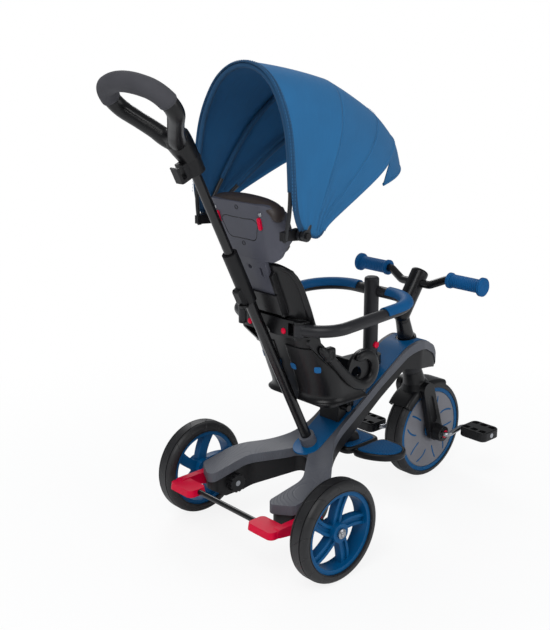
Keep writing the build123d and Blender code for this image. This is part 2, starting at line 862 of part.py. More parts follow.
with BuildPart() as sleeve:
    tube(leaning(bar_foot, bar_tilt, sleeve_start), sleeve_length, sleeve_radius)
    with BuildSketch(beside(bar_foot, bar_tilt)):
        with Locations((-sleeve_radius, sleeve_start + 20)):
            RectangleRounded(16, 34, 6)
    extrude(amount=9, both=True)
    with BuildSketch(leaning(bar_foot, bar_tilt, sleeve_start)):
        Circle(lower_tube_radius)
    extrude(amount=sleeve_length - sleeve_lip, mode=Mode.SUBTRACT)
    with BuildSketch(leaning(bar_foot, bar_tilt, sleeve_start)):
        Circle(upper_tube_radius + run_gap)
    extrude(amount=2 * sleeve_length, mode=Mode.SUBTRACT)
save(sleeve, "pushbar_sleeve")

with BuildPart() as upper_tube:
    tube(leaning(bar_foot, bar_tilt, lower_tube_length - tube_overlap),
         upper_tube_end - lower_tube_length + tube_overlap, upper_tube_radius, upper_tube_radius - tube_wall)
save(upper_tube, "pushbar_upper_tube")

handle_foot = up_line(bar_foot, bar_tilt, upper_tube_end - 15)
handle_plane = facing(handle_foot, handle_tilt)
handle_corner = (handle_half_width, handle_shoulder)
handle_peak = (0, handle_top)
handle_base = (0, handle_base_rise)
with BuildPart() as push_handle:
    with BuildLine(handle_plane) as handle_path:
        FilletPolyline(
            handle_peak, handle_corner, handle_base, (-handle_corner[0], handle_corner[1]),
            radius=[handle_crown, handle_corner_bend, handle_base_bend, handle_corner_bend], close=True,
        )
    with BuildSketch(Plane(origin=handle_path.line @ 0, z_dir=handle_path.line % 0)):
        Circle(handle_bar_radius)
    sweep(path=handle_path.line)
    tube(leaning(bar_foot, bar_tilt, handle_neck_start), upper_tube_end + 34 - handle_neck_start,
         handle_neck_radius)
    with BuildSketch(leaning(bar_foot, bar_tilt, handle_neck_start)):
        Circle(upper_tube_radius)
    extrude(amount=upper_tube_end - handle_neck_start, mode=Mode.SUBTRACT)
save(push_handle, "push_handle")

grip_low = handle_base[1] + grip_share * (handle_corner[1] - handle_base[1])
with BuildPart() as handle_grip:
    with BuildLine(handle_plane) as grip_path:
        FilletPolyline(
            (grip_share * handle_corner[0], grip_low),
            handle_corner, handle_peak, (-handle_corner[0], handle_corner[1]),
            (-grip_share * handle_corner[0], grip_low),
            radius=[handle_corner_bend, handle_crown, handle_corner_bend],
        )
    with BuildSketch(Plane(origin=grip_path.line @ 0, z_dir=grip_path.line % 0)):
        Circle(handle_bar_radius + handle_grip_wall)
        Circle(handle_bar_radius + seat_gap, mode=Mode.SUBTRACT)
    sweep(path=grip_path.line)
save(handle_grip, "handle_grip")

with BuildPart() as bag_hook:
    with BuildSketch(leaning(bar_foot, bar_tilt, handle_neck_start)):
        Circle(handle_neck_radius + 3)
        with Locations((-handle_neck_radius - 10, 0)):
            RectangleRounded(26, 24, 4)
        Circle(handle_neck_radius, mode=Mode.SUBTRACT)
    extrude(amount=hook_height)
    with BuildSketch(beside(bar_foot, bar_tilt)):
        with Locations((-handle_neck_radius - 14, handle_neck_start + 0.7 * hook_height)):
            RectangleRounded(9, hook_height, 3)
    extrude(amount=20, both=True, mode=Mode.SUBTRACT)
save(bag_hook, "bag_hook")

# Seat: bucket shell of back, yoke, pan, side bands and lobes, on a carriage along the spine


def ring_point(x, y):
    """Point on the middle line of the safety bar, which drops towards the seat back."""
    return (rear_axle_x + x, y, ring_z - (ring_front_x - x) * tan(radians(ring_slope)))


def bucket(half, depth, corner):
    """Plan of the seat back, round at the corners and open in front."""
    with Locations((back_depth, 0)):
        RectangleRounded(2 * depth, 2 * half, corner)


def back_outline(inset=0):
    """Front view of the seat back: drawn in at the foot and round at the shoulders."""
    foot = back_half - back_narrowing - inset
    wide = back_half - inset
    top = back_height - inset
    with BuildLine() as outline:
        FilletPolyline(
            (-foot, -back_skirt - back_corner), (foot, -back_skirt - back_corner), (wide, back_skirt),
            (wide, top - back_corner), (wide - back_narrowing, top), (back_narrowing - wide, top),
            (-wide, top - back_corner), (-wide, back_skirt),
            radius=[5, 5, 30, 40, 30, 30, 40, 30], close=True,
        )
    make_face(outline.edges())


post_x = ring_front_x - 8
ring_pin_z = ring_point(*ring_pin)[2]
knuckle_half = ring_radius + free_gap
yoke_low = ring_pin_z - knuckle_half - lug_thickness
yoke_height = 2 * (knuckle_half + lug_thickness)
button_z = ring_pin_z - ring_radius / 2
inner_half = back_half - seat_wall
inner_depth = back_depth - seat_wall
inner_corner = back_corner - seat_wall
with BuildPart() as back_wall:
    with BuildSketch(leaning(back_foot, back_lean, -back_skirt)):
        bucket(back_half, back_depth, back_corner)
        with Locations((back_depth, 0)):
            RectangleRounded(2 * inner_depth, 2 * inner_half, inner_corner, mode=Mode.SUBTRACT)
        with Locations((wing_depth + back_depth, 0)):
            Rectangle(2 * back_depth, 2 * back_half, mode=Mode.SUBTRACT)
    extrude(amount=back_height + back_skirt)
    with BuildSketch(facing(back_foot, back_lean)):
        back_outline()
    extrude(amount=2 * back_depth, both=True, mode=Mode.INTERSECT)

with BuildPart() as seat_shell:
    with BuildSketch(plan(yoke_low)):
        with Locations((yoke_rear_x + back_depth, 0)):
            RectangleRounded(2 * back_depth, 2 * yoke_half, back_corner)
        with Locations((yoke_front_x + back_depth, 0)):
            Rectangle(2 * back_depth, 2 * yoke_half, mode=Mode.SUBTRACT)
        with Locations((ring_pin[0], ring_pin[1]), (ring_pin[0], -ring_pin[1])):
            Circle(knuckle_radius)
    extrude(amount=yoke_height)
    for hand_name, hand in handed:
        with BuildSketch(plan(yoke_low)):
            with Locations((ring_pin[0], hand * ring_pin[1])):
                Circle(knuckle_radius)
            with Locations((band_top[0], hand * (band_y - seat_wall / 2))):
                Rectangle(2 * band_radius, seat_wall)
            make_hull()
        extrude(amount=lug_thickness)
        with BuildSketch(plan(ring_pin_z - knuckle_half)):
            with Locations((ring_pin[0], hand * ring_pin[1])):
                Circle(knuckle_radius + knuckle_room)
        extrude(amount=2 * knuckle_half, mode=Mode.SUBTRACT)
        with BuildSketch(across(yoke_rear_x - back_corner, hand * arm_button_y, button_z)):
            Circle(arm_button_radius + button_gap)
        extrude(amount=back_corner + arm_button_depth + button_travel, mode=Mode.SUBTRACT)
    with BuildSketch(leaning(back_foot, back_lean, -back_skirt)):
        bucket(inner_half, inner_depth, inner_corner)
    extrude(amount=back_height + back_skirt, mode=Mode.SUBTRACT)
    add(back_wall.part)
    with BuildSketch(plan(ring_pin_z - knuckle_half)):
        with Locations((ring_pin[0], ring_pin[1]), (ring_pin[0], -ring_pin[1])):
            Circle(knuckle_radius + 2 * free_gap)
    extrude(amount=2 * knuckle_half, mode=Mode.SUBTRACT)
    with BuildSketch(plan(pan_top)):
        with Locations(((pan_rear_x + pan_front_x) / 2, 0)):
            RectangleRounded(pan_front_x - pan_rear_x, 2 * pan_half, pan_corner)
    extrude(amount=pan_bottom - pan_top, taper=pan_taper)
    with BuildSketch(plan(post_foot)):
        with Locations((post_x, 0)):
            Circle(post_radius + 8)
        with Locations((pan_front_x - 30, 0)):
            Rectangle(4, 2 * tongue_half)
        make_hull()
    extrude(amount=-tongue_thickness)
    for hand_name, hand in handed:
        with BuildSketch(side(hand * band_y)):
            with Locations(band_top, band_low):
                Circle(band_radius)
            make_hull()
        extrude(amount=hand * seat_wall)
        with BuildSketch(side(hand * band_y)):
            with Locations(lobe):
                Circle(lobe_radius)
        extrude(amount=hand * seat_wall)
    with BuildSketch(plan(pan_top + 2)):
        with Locations(((pan_rear_x + pan_front_x) / 2, 0)):
            RectangleRounded(pan_front_x - pan_rear_x - 2 * seat_wall, 2 * (pan_half - seat_wall),
                             pan_corner - seat_wall)
    extrude(amount=pan_floor - pan_top - 2, taper=pan_taper, mode=Mode.SUBTRACT)
    with BuildSketch(side()):
        with Locations(lobe_hole):
            Circle(lobe_hole_radius)
    extrude(amount=2 * back_half, both=True, mode=Mode.SUBTRACT)
    for hand_name, hand in handed:
        tube(upright(ring_pin[0], hand * ring_pin[1], yoke_low), yoke_height, ring_pin_radius)
    with BuildSketch(leaning(bar_foot, bar_tilt)):
        Circle(lower_tube_radius + bar_notch)
        with Locations((-2 * lower_tube_radius, 0)):
            Rectangle(4 * lower_tube_radius, 2 * (lower_tube_radius + bar_notch))
    extrude(amount=lower_tube_length, mode=Mode.SUBTRACT)
    strut_bottom = back_height + head_gap - strut_length
    for hand_name, hand in handed:
        with BuildSketch(beside(back_foot, back_lean, hand * (strut_half + free_gap))):
            with BuildLine():
                Polyline((2, strut_bottom - 6), (-strut_thickness - 2 * free_gap, strut_bottom - 6),
                         (-strut_thickness - 2 * free_gap, back_height - 20), (2, back_height - 12), close=True)
            make_face()
        extrude(amount=-hand * strut_rail)
    with BuildSketch(beside(back_foot, back_lean)):
        with Locations((-strut_thickness - 2 * free_gap - 2, strut_bottom + 22)):
            Rectangle(4, 44)
    extrude(amount=strut_half + strut_rail, both=True)
save(seat_shell, "seat_shell")

pan_middle = (pan_rear_x + pan_front_x) / 2
cushion_length = pan_front_x - pan_rear_x - 2 * cushion_margin
cushion_width = 2 * (pan_half - cushion_margin)
with BuildPart() as seat_cushion:
    with BuildSketch(plan(pan_floor)):
        with Locations((pan_middle, 0)):
            RectangleRounded(cushion_length, cushion_width, pan_corner - cushion_margin)
    extrude(amount=2 * cushion, taper=cushion_taper)
    with Locations((rear_axle_x + pan_middle, 0, pan_floor + 2 * cushion - 2 - crown_radius)):
        Sphere(crown_radius, mode=Mode.INTERSECT)
    for channel in (-channel_y, channel_y):
        with BuildSketch(across(pan_rear_x, channel, pan_floor + 2 * cushion - 2)):
            Circle(channel_radius)
        extrude(amount=pan_front_x, mode=Mode.SUBTRACT)
save(seat_cushion, "seat_cushion")

with BuildPart() as back_cushion:
    with BuildSketch(leaning(back_foot, back_lean, cushion_low)):
        bucket(inner_half, inner_depth, inner_corner)
        with Locations((back_depth + cushion_crown, 0)):
            RectangleRounded(2 * (inner_depth - cushion), 2 * (inner_half - cushion), inner_corner - cushion,
                             mode=Mode.SUBTRACT)
        with Locations((wing_depth + cushion_proud + back_depth, 0)):
            Rectangle(2 * back_depth, 2 * back_half, mode=Mode.SUBTRACT)
    extrude(amount=back_height - cushion_low)
    with BuildSketch(facing(back_foot, back_lean)):
        back_outline(seat_wall)
    extrude(amount=2 * back_depth, both=True, mode=Mode.INTERSECT)
    for channel in range(1, cushion_channels + 1):
        rise = cushion_low + channel * (back_height - cushion_low) / (cushion_channels + 1)
        with BuildSketch(beside(back_foot, back_lean)):
            with Locations((seat_wall + cushion + cushion_crown, rise)):
                Circle(channel_radius)
        extrude(amount=inner_half - back_corner, both=True, mode=Mode.SUBTRACT)
save(back_cushion, "back_cushion")


def spine_z(x):
    """Height of the top line of the spine."""
    return spine_foot[1] + (x - spine_foot[0]) * tan(radians(spine_angle))


rest_gap = (inlay_proud + free_gap) / cos(radians(spine_angle))
lever_x = carriage_rear_x + carriage_wall + lever_radius
lever_z = pan_bottom - 30
with BuildPart() as carriage:
    with BuildSketch(side()):
        with BuildLine():
            Polyline(
                (carriage_rear_x, spine_z(carriage_rear_x) + rest_gap),
                (carriage_front_x, spine_z(carriage_front_x) + rest_gap),
                (carriage_front_x, pan_bottom), (carriage_rear_x, pan_bottom), close=True,
            )
        make_face()
    extrude(amount=carriage_half, both=True)
    for hand_name, hand in handed:
        with BuildSketch(side(hand * carriage_half)):
            with Locations(((lever_x + lever_radius + carriage_front_x) / 2, lever_z)):
                with GridLocations(2 * carriage_rib, 0, carriage_rib_count, 1):
                    Rectangle(carriage_rib, 100)
        extrude(amount=hand * carriage_rib / 2, mode=Mode.SUBTRACT)
    with BuildSketch(side()):
        with Locations((lever_x, lever_z)):
            Circle(lever_radius)
    extrude(amount=2 * carriage_half, both=True, mode=Mode.SUBTRACT)
save(carriage, "seat_carriage")

with BuildPart() as seat_lever:
    tube(sideways(lever_x, carriage_half + 4, lever_z),
         2 * carriage_half + lever_length / 2, lever_radius - run_gap)
save(seat_lever, "seat_lock_lever")

# Safety bar: fixed right half with the post, hinged left half, pads and buttons
with BuildPart() as post:
    tube(upright(post_x, 0, post_foot), post_height, post_radius)
    fillet(post.edges().group_by(Axis.Z)[-1], 6)
    with BuildSketch(side(-post_radius - button_proud)):
        with Locations((post_x, post_foot + post_button_rise)):
            Circle(post_button_radius + button_gap)
    extrude(amount=-button_proud - 12, mode=Mode.SUBTRACT)
save(post, "safety_bar_post")

for hand_name, hand in handed:
    stop_y = 0 if hand < 0 else post_radius + 3
    front_corner = ring_point(ring_front_x, hand * ring_half)
    with BuildPart() as ring_bar:
        with BuildLine() as ring_path:
            FilletPolyline(
                ring_point(ring_pin[0], hand * ring_pin[1]), ring_point(ring_bow_x, hand * ring_bow_half),
                front_corner, ring_point(ring_front_x, hand * stop_y), radius=[ring_bow_corner, ring_corner],
            )
        with BuildSketch(Plane(origin=ring_path.line @ 0, z_dir=ring_path.line % 0)):
            Circle(ring_radius)
        sweep(path=ring_path.line)
        tube(upright(ring_pin[0], hand * ring_pin[1], ring_pin_z - ring_radius), 2 * ring_radius, knuckle_radius)
        with BuildSketch(plan()):
            with Locations((post_x, 0)):
                Circle(post_radius)
            with Locations((ring_pin[0], hand * ring_pin[1])):
                Circle(ring_pin_radius + (run_gap if hand > 0 else 0))
        extrude(amount=2 * ring_z, mode=Mode.SUBTRACT)
    save(ring_bar, f"safety_bar_{hand_name}")

    with BuildPart() as arm_button:
        tube(across(yoke_rear_x - button_proud, hand * arm_button_y, button_z),
             button_proud + arm_button_depth, arm_button_radius)
    save(arm_button, f"arm_button_{hand_name}")

    pad_share = (pad_rear_x - ring_bow_x) / (ring_front_x - ring_bow_x)
    pad_start_y = ring_bow_half + pad_share * (ring_half - ring_bow_half)
    with BuildPart() as ring_pad:
        with BuildLine() as pad_path:
            FilletPolyline(
                ring_point(pad_rear_x, hand * pad_start_y), front_corner,
                ring_point(ring_front_x, hand * (ring_half - ring_corner - 6)), radius=ring_corner,
            )
        run = pad_path.line % 0
        with BuildSketch(Plane(origin=pad_path.line @ 0, x_dir=(-run.Y, run.X, 0), z_dir=run)):
            Circle(ring_radius + pad_thickness)
            Circle(ring_radius + seat_gap, mode=Mode.SUBTRACT)
            with Locations((0, -ring_radius)):
                Rectangle(4 * ring_radius, 2 * ring_radius, mode=Mode.SUBTRACT)
        sweep(path=pad_path.line)
    save(ring_pad, f"safety_pad_{hand_name}")

with BuildPart() as post_button:
    with BuildSketch(side(-post_radius - button_proud)):
        with Locations((post_x, post_foot + post_button_rise)):
            Circle(post_button_radius)
    extrude(amount=-button_proud - 9)
save(post_button, "post_button")

# Headrest: shell with a tongue that slides on the seat back, pad, buttons and canopy arms
lean_gap = free_gap + strut_thickness
head_line = up_line(back_foot, back_lean, back_height + head_gap)
head_foot = (head_line[0] - lean_gap * cos(radians(back_lean)), head_line[1] - lean_gap * sin(radians(back_lean)))
head_button_y = 59
head_button_rise = 76


def headrest_outline(inset=0):
    """Rear view of the headrest: wider at the top, with round corners."""
    with BuildLine() as outline:
        FilletPolyline(
            (inset - head_half + 22, inset), (head_half - 22 - inset, inset),
            (head_half - inset, 0.45 * head_height), (head_half - 12 - inset, head_height - inset),
            (12 - head_half + inset, head_height - inset), (inset - head_half, 0.45 * head_height),
            radius=[18, 18, 50, 30, 30, 50], close=True,
        )
    make_face(outline.edges())


with BuildPart() as strut:
    with BuildSketch(beside(back_foot, back_lean)):
        with BuildLine():
            Polyline((-free_gap, strut_bottom), (-free_gap, back_height + 2 * head_gap),
                     (-lean_gap, back_height + 2 * head_gap), (-lean_gap, strut_bottom), close=True)
        make_face()
    extrude(amount=strut_half, both=True)
    split(bisect_by=leaning(head_foot, head_lean, 1), keep=Keep.BOTTOM)
    with BuildSketch(facing(back_foot, back_lean)):
        with Locations((0, back_height - 6)):
            Circle(5)
        with Locations((-30, back_height - 14), (30, back_height - 14)):
            SlotOverall(22, 7, rotation=90)
    extrude(amount=3 * strut_thickness, both=True, mode=Mode.SUBTRACT)

with BuildPart() as headrest_shell:
    with BuildSketch(leaning(head_foot, head_lean)):
        with Locations((head_depth, 0)):
            RectangleRounded(2 * head_depth, 2 * head_half, head_corner)
            RectangleRounded(2 * (head_depth - head_wall), 2 * (head_half - head_wall),
                             head_corner - head_wall, mode=Mode.SUBTRACT)
        with Locations((head_wing + head_depth, 0)):
            Rectangle(2 * head_depth, 2 * head_half, mode=Mode.SUBTRACT)
    extrude(amount=head_height)
    with BuildSketch(facing(head_foot, head_lean)):
        headrest_outline()
    extrude(amount=3 * head_depth, both=True, mode=Mode.INTERSECT)
    with BuildSketch(facing(head_foot, head_lean)):
        with Locations((-head_button_y, head_button_rise), (head_button_y, head_button_rise)):
            SlotOverall(24 + 2 * button_gap, 9 + 2 * button_gap, rotation=90)
    extrude(amount=head_wall, mode=Mode.SUBTRACT)
    with BuildSketch(side()):
        with Locations(canopy_pivot):
            Circle(arm_radius)
    extrude(amount=2 * head_half, both=True, mode=Mode.SUBTRACT)
    add(strut.part)
save(headrest_shell, "headrest_shell")

with BuildPart() as headrest_pad:
    with BuildSketch(leaning(head_foot, head_lean)):
        with Locations((head_depth, 0)):
            RectangleRounded(2 * (head_depth - head_wall), 2 * (head_half - head_wall), head_corner - head_wall)
            RectangleRounded(2 * (head_depth - head_wall - head_pad), 2 * (head_half - head_wall - head_pad),
                             head_corner - head_wall - head_pad, mode=Mode.SUBTRACT)
        with Locations((head_wing + head_pad_proud + head_depth, 0)):
            Rectangle(2 * head_depth, 2 * head_half, mode=Mode.SUBTRACT)
    extrude(amount=head_height)
    with BuildSketch(facing(head_foot, head_lean)):
        headrest_outline(3)
    extrude(amount=3 * head_depth, both=True, mode=Mode.INTERSECT)
save(headrest_pad, "headrest_pad")

for hand_name, hand in handed:
    with BuildPart() as head_button:
        with BuildSketch(facing(head_foot, head_lean).offset(-button_proud)):
            with Locations((hand * head_button_y, head_button_rise)):
                SlotOverall(24, 9, rotation=90)
        extrude(amount=button_proud + head_wall - button_travel - 1)
    save(head_button, f"head_button_{hand_name}")

# Canopy: three bows, fabric between them, band and peak in front


def bow_plane(angle, back=0):
    """Plane of a bow that leans forward by angle, back millimetres behind the pivot line."""
    return facing((canopy_pivot[0] - back, canopy_pivot[1]), -angle)


def arch(half, height, start=0):
    """Points of an arch from its right side over the crown to its left side."""
    left = [(share * half, rise * height) for share, rise in arch_shape[start:]]
    return [(-y, z) for y, z in left] + [(0, height)] + left[::-1]


def strip_face(inner_points, outer_points):
    """Cross-section of fabric between two arches."""
    with BuildLine() as strip:
        inner = Spline(*inner_points)
        outer = Spline(*outer_points)
        Line(inner @ 0, outer @ 0)
        Line(inner @ 1, outer @ 1)
    make_face(strip.edges())


def fabric_section(half, height, start=0):
    """Cross-section of the fabric that lies over a bow."""
    near = bow_radius + fabric_gap
    far = near + fabric
    strip_face(arch(half + near, height + near, start), arch(half + far, height + far, start))


with BuildPart() as bow_rear:
    with BuildLine(bow_plane(rear_bow[0], rear_bow_back)) as bow_path:
        Spline((-rear_foot, -bow_eye), *arch(*rear_bow[1:], 2), (rear_foot, -bow_eye))
    with BuildSketch(Plane(origin=bow_path.line @ 0, z_dir=bow_path.line % 0)):
        Circle(bow_radius)
    sweep(path=bow_path.line)
save(bow_rear, "canopy_bow_rear")

for bow_name, bow, foot in (("mid", mid_bow, mid_foot), ("front", front_bow, front_foot)):
    with BuildPart() as bow_piece:
        with BuildLine(bow_plane(bow[0])) as bow_path:
            Spline((-foot, bow_eye - bow_radius), *arch(foot, bow[2], 1), (foot, bow_eye - bow_radius))
        with BuildSketch(Plane(origin=bow_path.line @ 0, z_dir=bow_path.line % 0)):
            Circle(bow_radius)
        sweep(path=bow_path.line)
        for hand_name, hand in handed:
            with BuildSketch(side(hand * foot)):
                with Locations(canopy_pivot):
                    Circle(bow_eye)
            extrude(amount=bow_radius - 0.5, both=True)
        with BuildSketch(side()):
            with Locations(canopy_pivot):
                Circle(arm_radius + run_gap)
        extrude(amount=2 * foot, both=True, mode=Mode.SUBTRACT)
    save(bow_piece, f"canopy_bow_{bow_name}")

with BuildPart() as canopy_arms:
    for hand_name, hand in handed:
        arm_start = hand * (head_half - head_wall)
        tube(sideways(canopy_pivot[0], arm_start, canopy_pivot[1]),
             -hand * (canopy_arm_end - head_half + head_wall), arm_radius)
        with BuildSketch(side(hand * (rear_foot + socket_half))):
            with Locations(canopy_pivot):
                Circle(bow_eye)
            with Locations((canopy_pivot[0] - rear_bow_back, canopy_pivot[1])):
                Rectangle(4 * bow_radius, 4 * bow_radius)
            make_hull()
        extrude(amount=hand * 2 * socket_half)
    add(bow_rear.part, mode=Mode.SUBTRACT)
save(canopy_arms, "canopy_arms")

panels = (("rear", rear_bow, rear_bow_back, mid_bow), ("front", mid_bow, 0, front_bow))
for panel_name, start, back, end in panels:
    with BuildPart() as panel:
        for share in (0, 0.5, 1):
            angle, half, height = ((1 - share) * first + share * last for first, last in zip(start, end))
            drawn_in = 1 - 4 * share * (1 - share) * panel_sag
            with BuildSketch(bow_plane(angle, (1 - share) * back)):
                fabric_section(drawn_in * half, drawn_in * height)
        loft()
    save(panel, f"canopy_panel_{panel_name}")

with BuildPart() as canopy_band:
    for angle, half, height in (front_bow, hem_bow):
        with BuildSketch(bow_plane(angle)):
            fabric_section(half, height)
    loft(ruled=True)
save(canopy_band, "canopy_band")


def peak_arch(grow):
    """Points of the free edge of the peak: half an ellipse."""
    turns = [radians(30 * step) for step in range(7)]
    rise = peak_height + grow - peak_side
    return [(-(peak_half + grow) * cos(turn), peak_side + rise * sin(turn)) for turn in turns]


with BuildPart() as canopy_peak:
    with BuildSketch(bow_plane(hem_bow[0])):
        fabric_section(*hem_bow[1:], peak_start)
    with BuildSketch(bow_plane(peak_angle)):
        strip_face(peak_arch(0), peak_arch(fabric))
    loft(ruled=True)
save(canopy_peak, "canopy_peak")

# Footrests: two wings that fold up beside the spine, on pins in a bracket below it
pin_z = footrest_z - footrest_thickness / 2
ear = 8


def spine_bottom_z(x):
    """Height of the bottom line of the under-tray along the spine."""
    low, high = tray_bottom[3], tray_bottom[4]
    return low[1] + (x - low[0]) * (high[1] - low[1]) / (high[0] - low[0])


with BuildPart() as footrest_bracket:
    for ear_x in (footrest_rear_x, footrest_front_x - ear):
        with BuildSketch(across(ear_x, 0, 0)):
            with Locations((-footrest_pin_y, pin_z), (footrest_pin_y, pin_z)):
                Circle(footrest_knuckle)
            with Locations((0, spine_bottom_z(ear_x) - 4)):
                Rectangle(2 * (waist - 12), 4)
            make_hull()
        extrude(amount=ear)
    with BuildSketch(side()):
        with BuildLine():
            Polyline((footrest_rear_x, pin_z - 6), (footrest_front_x, pin_z - 6),
                     (footrest_front_x, spine_bottom_z(footrest_front_x)),
                     (footrest_rear_x, spine_bottom_z(footrest_rear_x)), close=True)
        make_face()
    extrude(amount=12, both=True)
    for hand_name, hand in handed:
        tube(across(footrest_rear_x, hand * footrest_pin_y, pin_z), footrest_front_x - footrest_rear_x,
             footrest_pin_radius)
save(footrest_bracket, "footrest_bracket")


def footrest_outline(hand, inset=0):
    """Plan view of one wing: straight in front, swept back to the hinge behind."""
    inner = footrest_pin_y + 2 + inset
    wing_rear = footrest_rear_x + ear + free_gap
    wing_front = footrest_front_x - ear - free_gap
    with BuildLine() as outline:
        FilletPolyline(
            (wing_rear + inset, hand * inner), (wing_front - inset, hand * inner),
            (wing_front - inset, hand * (footrest_tip_y - inset)),
            (wing_front - 40 + inset, hand * (footrest_tip_y - inset)),
            (wing_rear + inset, hand * (footrest_pin_y + 26 - inset)),
            radius=[2, 2, 14, 12, 4], close=True,
        )
    make_face(outline.edges())


for hand_name, hand in handed:
    with BuildPart() as footrest:
        with BuildSketch(plan(footrest_z - footrest_thickness)):
            footrest_outline(hand)
        extrude(amount=footrest_thickness)
        tube(across(footrest_rear_x + ear + free_gap, hand * footrest_pin_y, pin_z),
             footrest_front_x - footrest_rear_x - 2 * (ear + free_gap), footrest_knuckle)
        with BuildSketch(plan(footrest_z - tread_thickness / 2)):
            footrest_outline(hand, tread_margin)
        extrude(amount=tread_thickness, mode=Mode.SUBTRACT)
        tube_bore = footrest_pin_radius + run_gap
        with BuildSketch(across(footrest_rear_x, hand * footrest_pin_y, pin_z)):
            Circle(tube_bore)
        extrude(amount=footrest_front_x - footrest_rear_x, mode=Mode.SUBTRACT)
    save(footrest, f"footrest_{hand_name}")

    with BuildPart() as tread:
        with BuildSketch(plan(footrest_z - tread_thickness / 2)):
            footrest_outline(hand, tread_margin)
        extrude(amount=tread_thickness)
    save(tread, f"footrest_tread_{hand_name}")
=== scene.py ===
# %% [markdown]
# # A children's tricycle with push bar, safety bar and canopy
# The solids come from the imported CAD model, in metres, with X forward, Y to the rider's left and Z up.
# This lesson dresses them: each finish is built from what the real material is, and the soft pieces
# (canopy, cushions, foam grip) are made here as cloth and padding in place of their plain solids.

# %% Load the frame
import json

import bmesh
import bpy
import numpy as np
from mathutils import Matrix
from mathutils.bvhtree import BVHTree

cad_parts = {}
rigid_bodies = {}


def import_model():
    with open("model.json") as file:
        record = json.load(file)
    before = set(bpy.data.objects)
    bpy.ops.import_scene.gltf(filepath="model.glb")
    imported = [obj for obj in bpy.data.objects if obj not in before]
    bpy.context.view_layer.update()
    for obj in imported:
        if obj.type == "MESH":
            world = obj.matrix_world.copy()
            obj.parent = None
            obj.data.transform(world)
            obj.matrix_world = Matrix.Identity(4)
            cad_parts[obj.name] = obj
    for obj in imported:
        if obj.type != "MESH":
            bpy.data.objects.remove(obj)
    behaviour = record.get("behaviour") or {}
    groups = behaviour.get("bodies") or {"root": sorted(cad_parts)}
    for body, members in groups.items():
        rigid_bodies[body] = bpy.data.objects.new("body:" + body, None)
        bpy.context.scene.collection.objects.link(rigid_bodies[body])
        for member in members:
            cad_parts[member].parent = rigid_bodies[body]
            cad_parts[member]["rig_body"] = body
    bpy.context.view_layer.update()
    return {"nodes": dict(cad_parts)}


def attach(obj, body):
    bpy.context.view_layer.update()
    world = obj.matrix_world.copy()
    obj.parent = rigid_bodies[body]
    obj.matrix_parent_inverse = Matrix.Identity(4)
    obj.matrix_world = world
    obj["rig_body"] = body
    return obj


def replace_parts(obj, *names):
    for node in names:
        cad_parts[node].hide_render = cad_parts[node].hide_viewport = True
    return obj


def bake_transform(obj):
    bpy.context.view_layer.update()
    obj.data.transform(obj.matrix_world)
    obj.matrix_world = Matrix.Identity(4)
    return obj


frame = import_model()
nodes = frame["nodes"]
scene = bpy.context.scene
scene.view_settings.view_transform = "Standard"
MM = 0.001
REAR_AXLE_X, REAR_AXLE_Z = -154.5, 102.5
WHEELBASE, FRONT_AXLE_Z = 510, 115
HANDS = ((-1, "right"), (1, "left"))

# %% [markdown]
# ## Two small tools for materials
# Colours are written as sRGB hex values, as a paint chart gives them, and Blender wants linear light.
# A node tree is long to write by hand, so one function adds a node with its settings and links.


# %% Colour and nodes
def linear(hex_colour):
    """Linear RGBA of an sRGB hex colour: c / 12.92 up to 0.04045, else ((c + 0.055) / 1.055) ** 2.4."""
    srgb = np.array([int(hex_colour[i:i + 2], 16) for i in (1, 3, 5)]) / 255
    rgb = np.where(srgb <= 0.04045, srgb / 12.92, ((srgb + 0.055) / 1.055) ** 2.4)
    return (*rgb.tolist(), 1.0)


def put(tree, kind, settings=(), **inputs):
    """Adds a node. settings are its properties; an input is named (Base_Color) or numbered (n0) and takes a
    value or a link."""
    node = tree.nodes.new("ShaderNode" + kind)
    for key, value in dict(settings).items():
        setattr(node, key, value)
    for key, value in inputs.items():
        numbered = key[0] == "n" and key[1:].isdigit()
        socket = node.inputs[int(key[1:])] if numbered else node.inputs[key.replace("_", " ")]
        if isinstance(value, bpy.types.NodeSocket):
            tree.links.new(value, socket)
        else:
            socket.default_value = value
    return node


def fresh(name):
    """A new material with its node tree and its shader."""
    material = bpy.data.materials.new(name)
    material.use_nodes = True
    return material, material.node_tree, material.node_tree.nodes["Principled BSDF"]


print("white is", np.round(linear("#FFFFFF")[:3], 3))

# %% [markdown]
# ## Moulded plastic
# Nearly all of the hard pieces are injection-moulded plastic. The steel mould is spark-eroded, which
# leaves a fine grain of about half a millimetre on the part, and corners come out of the mould with a small
# radius that catches the light. Handling polishes and pales those corners first. So: a noise bump for the
# grain, the Bevel node for the round corners, and the difference between the bevelled and the true
# normal as a mask for wear. The grain is drawn about twice as coarse as it is, so that it shows.


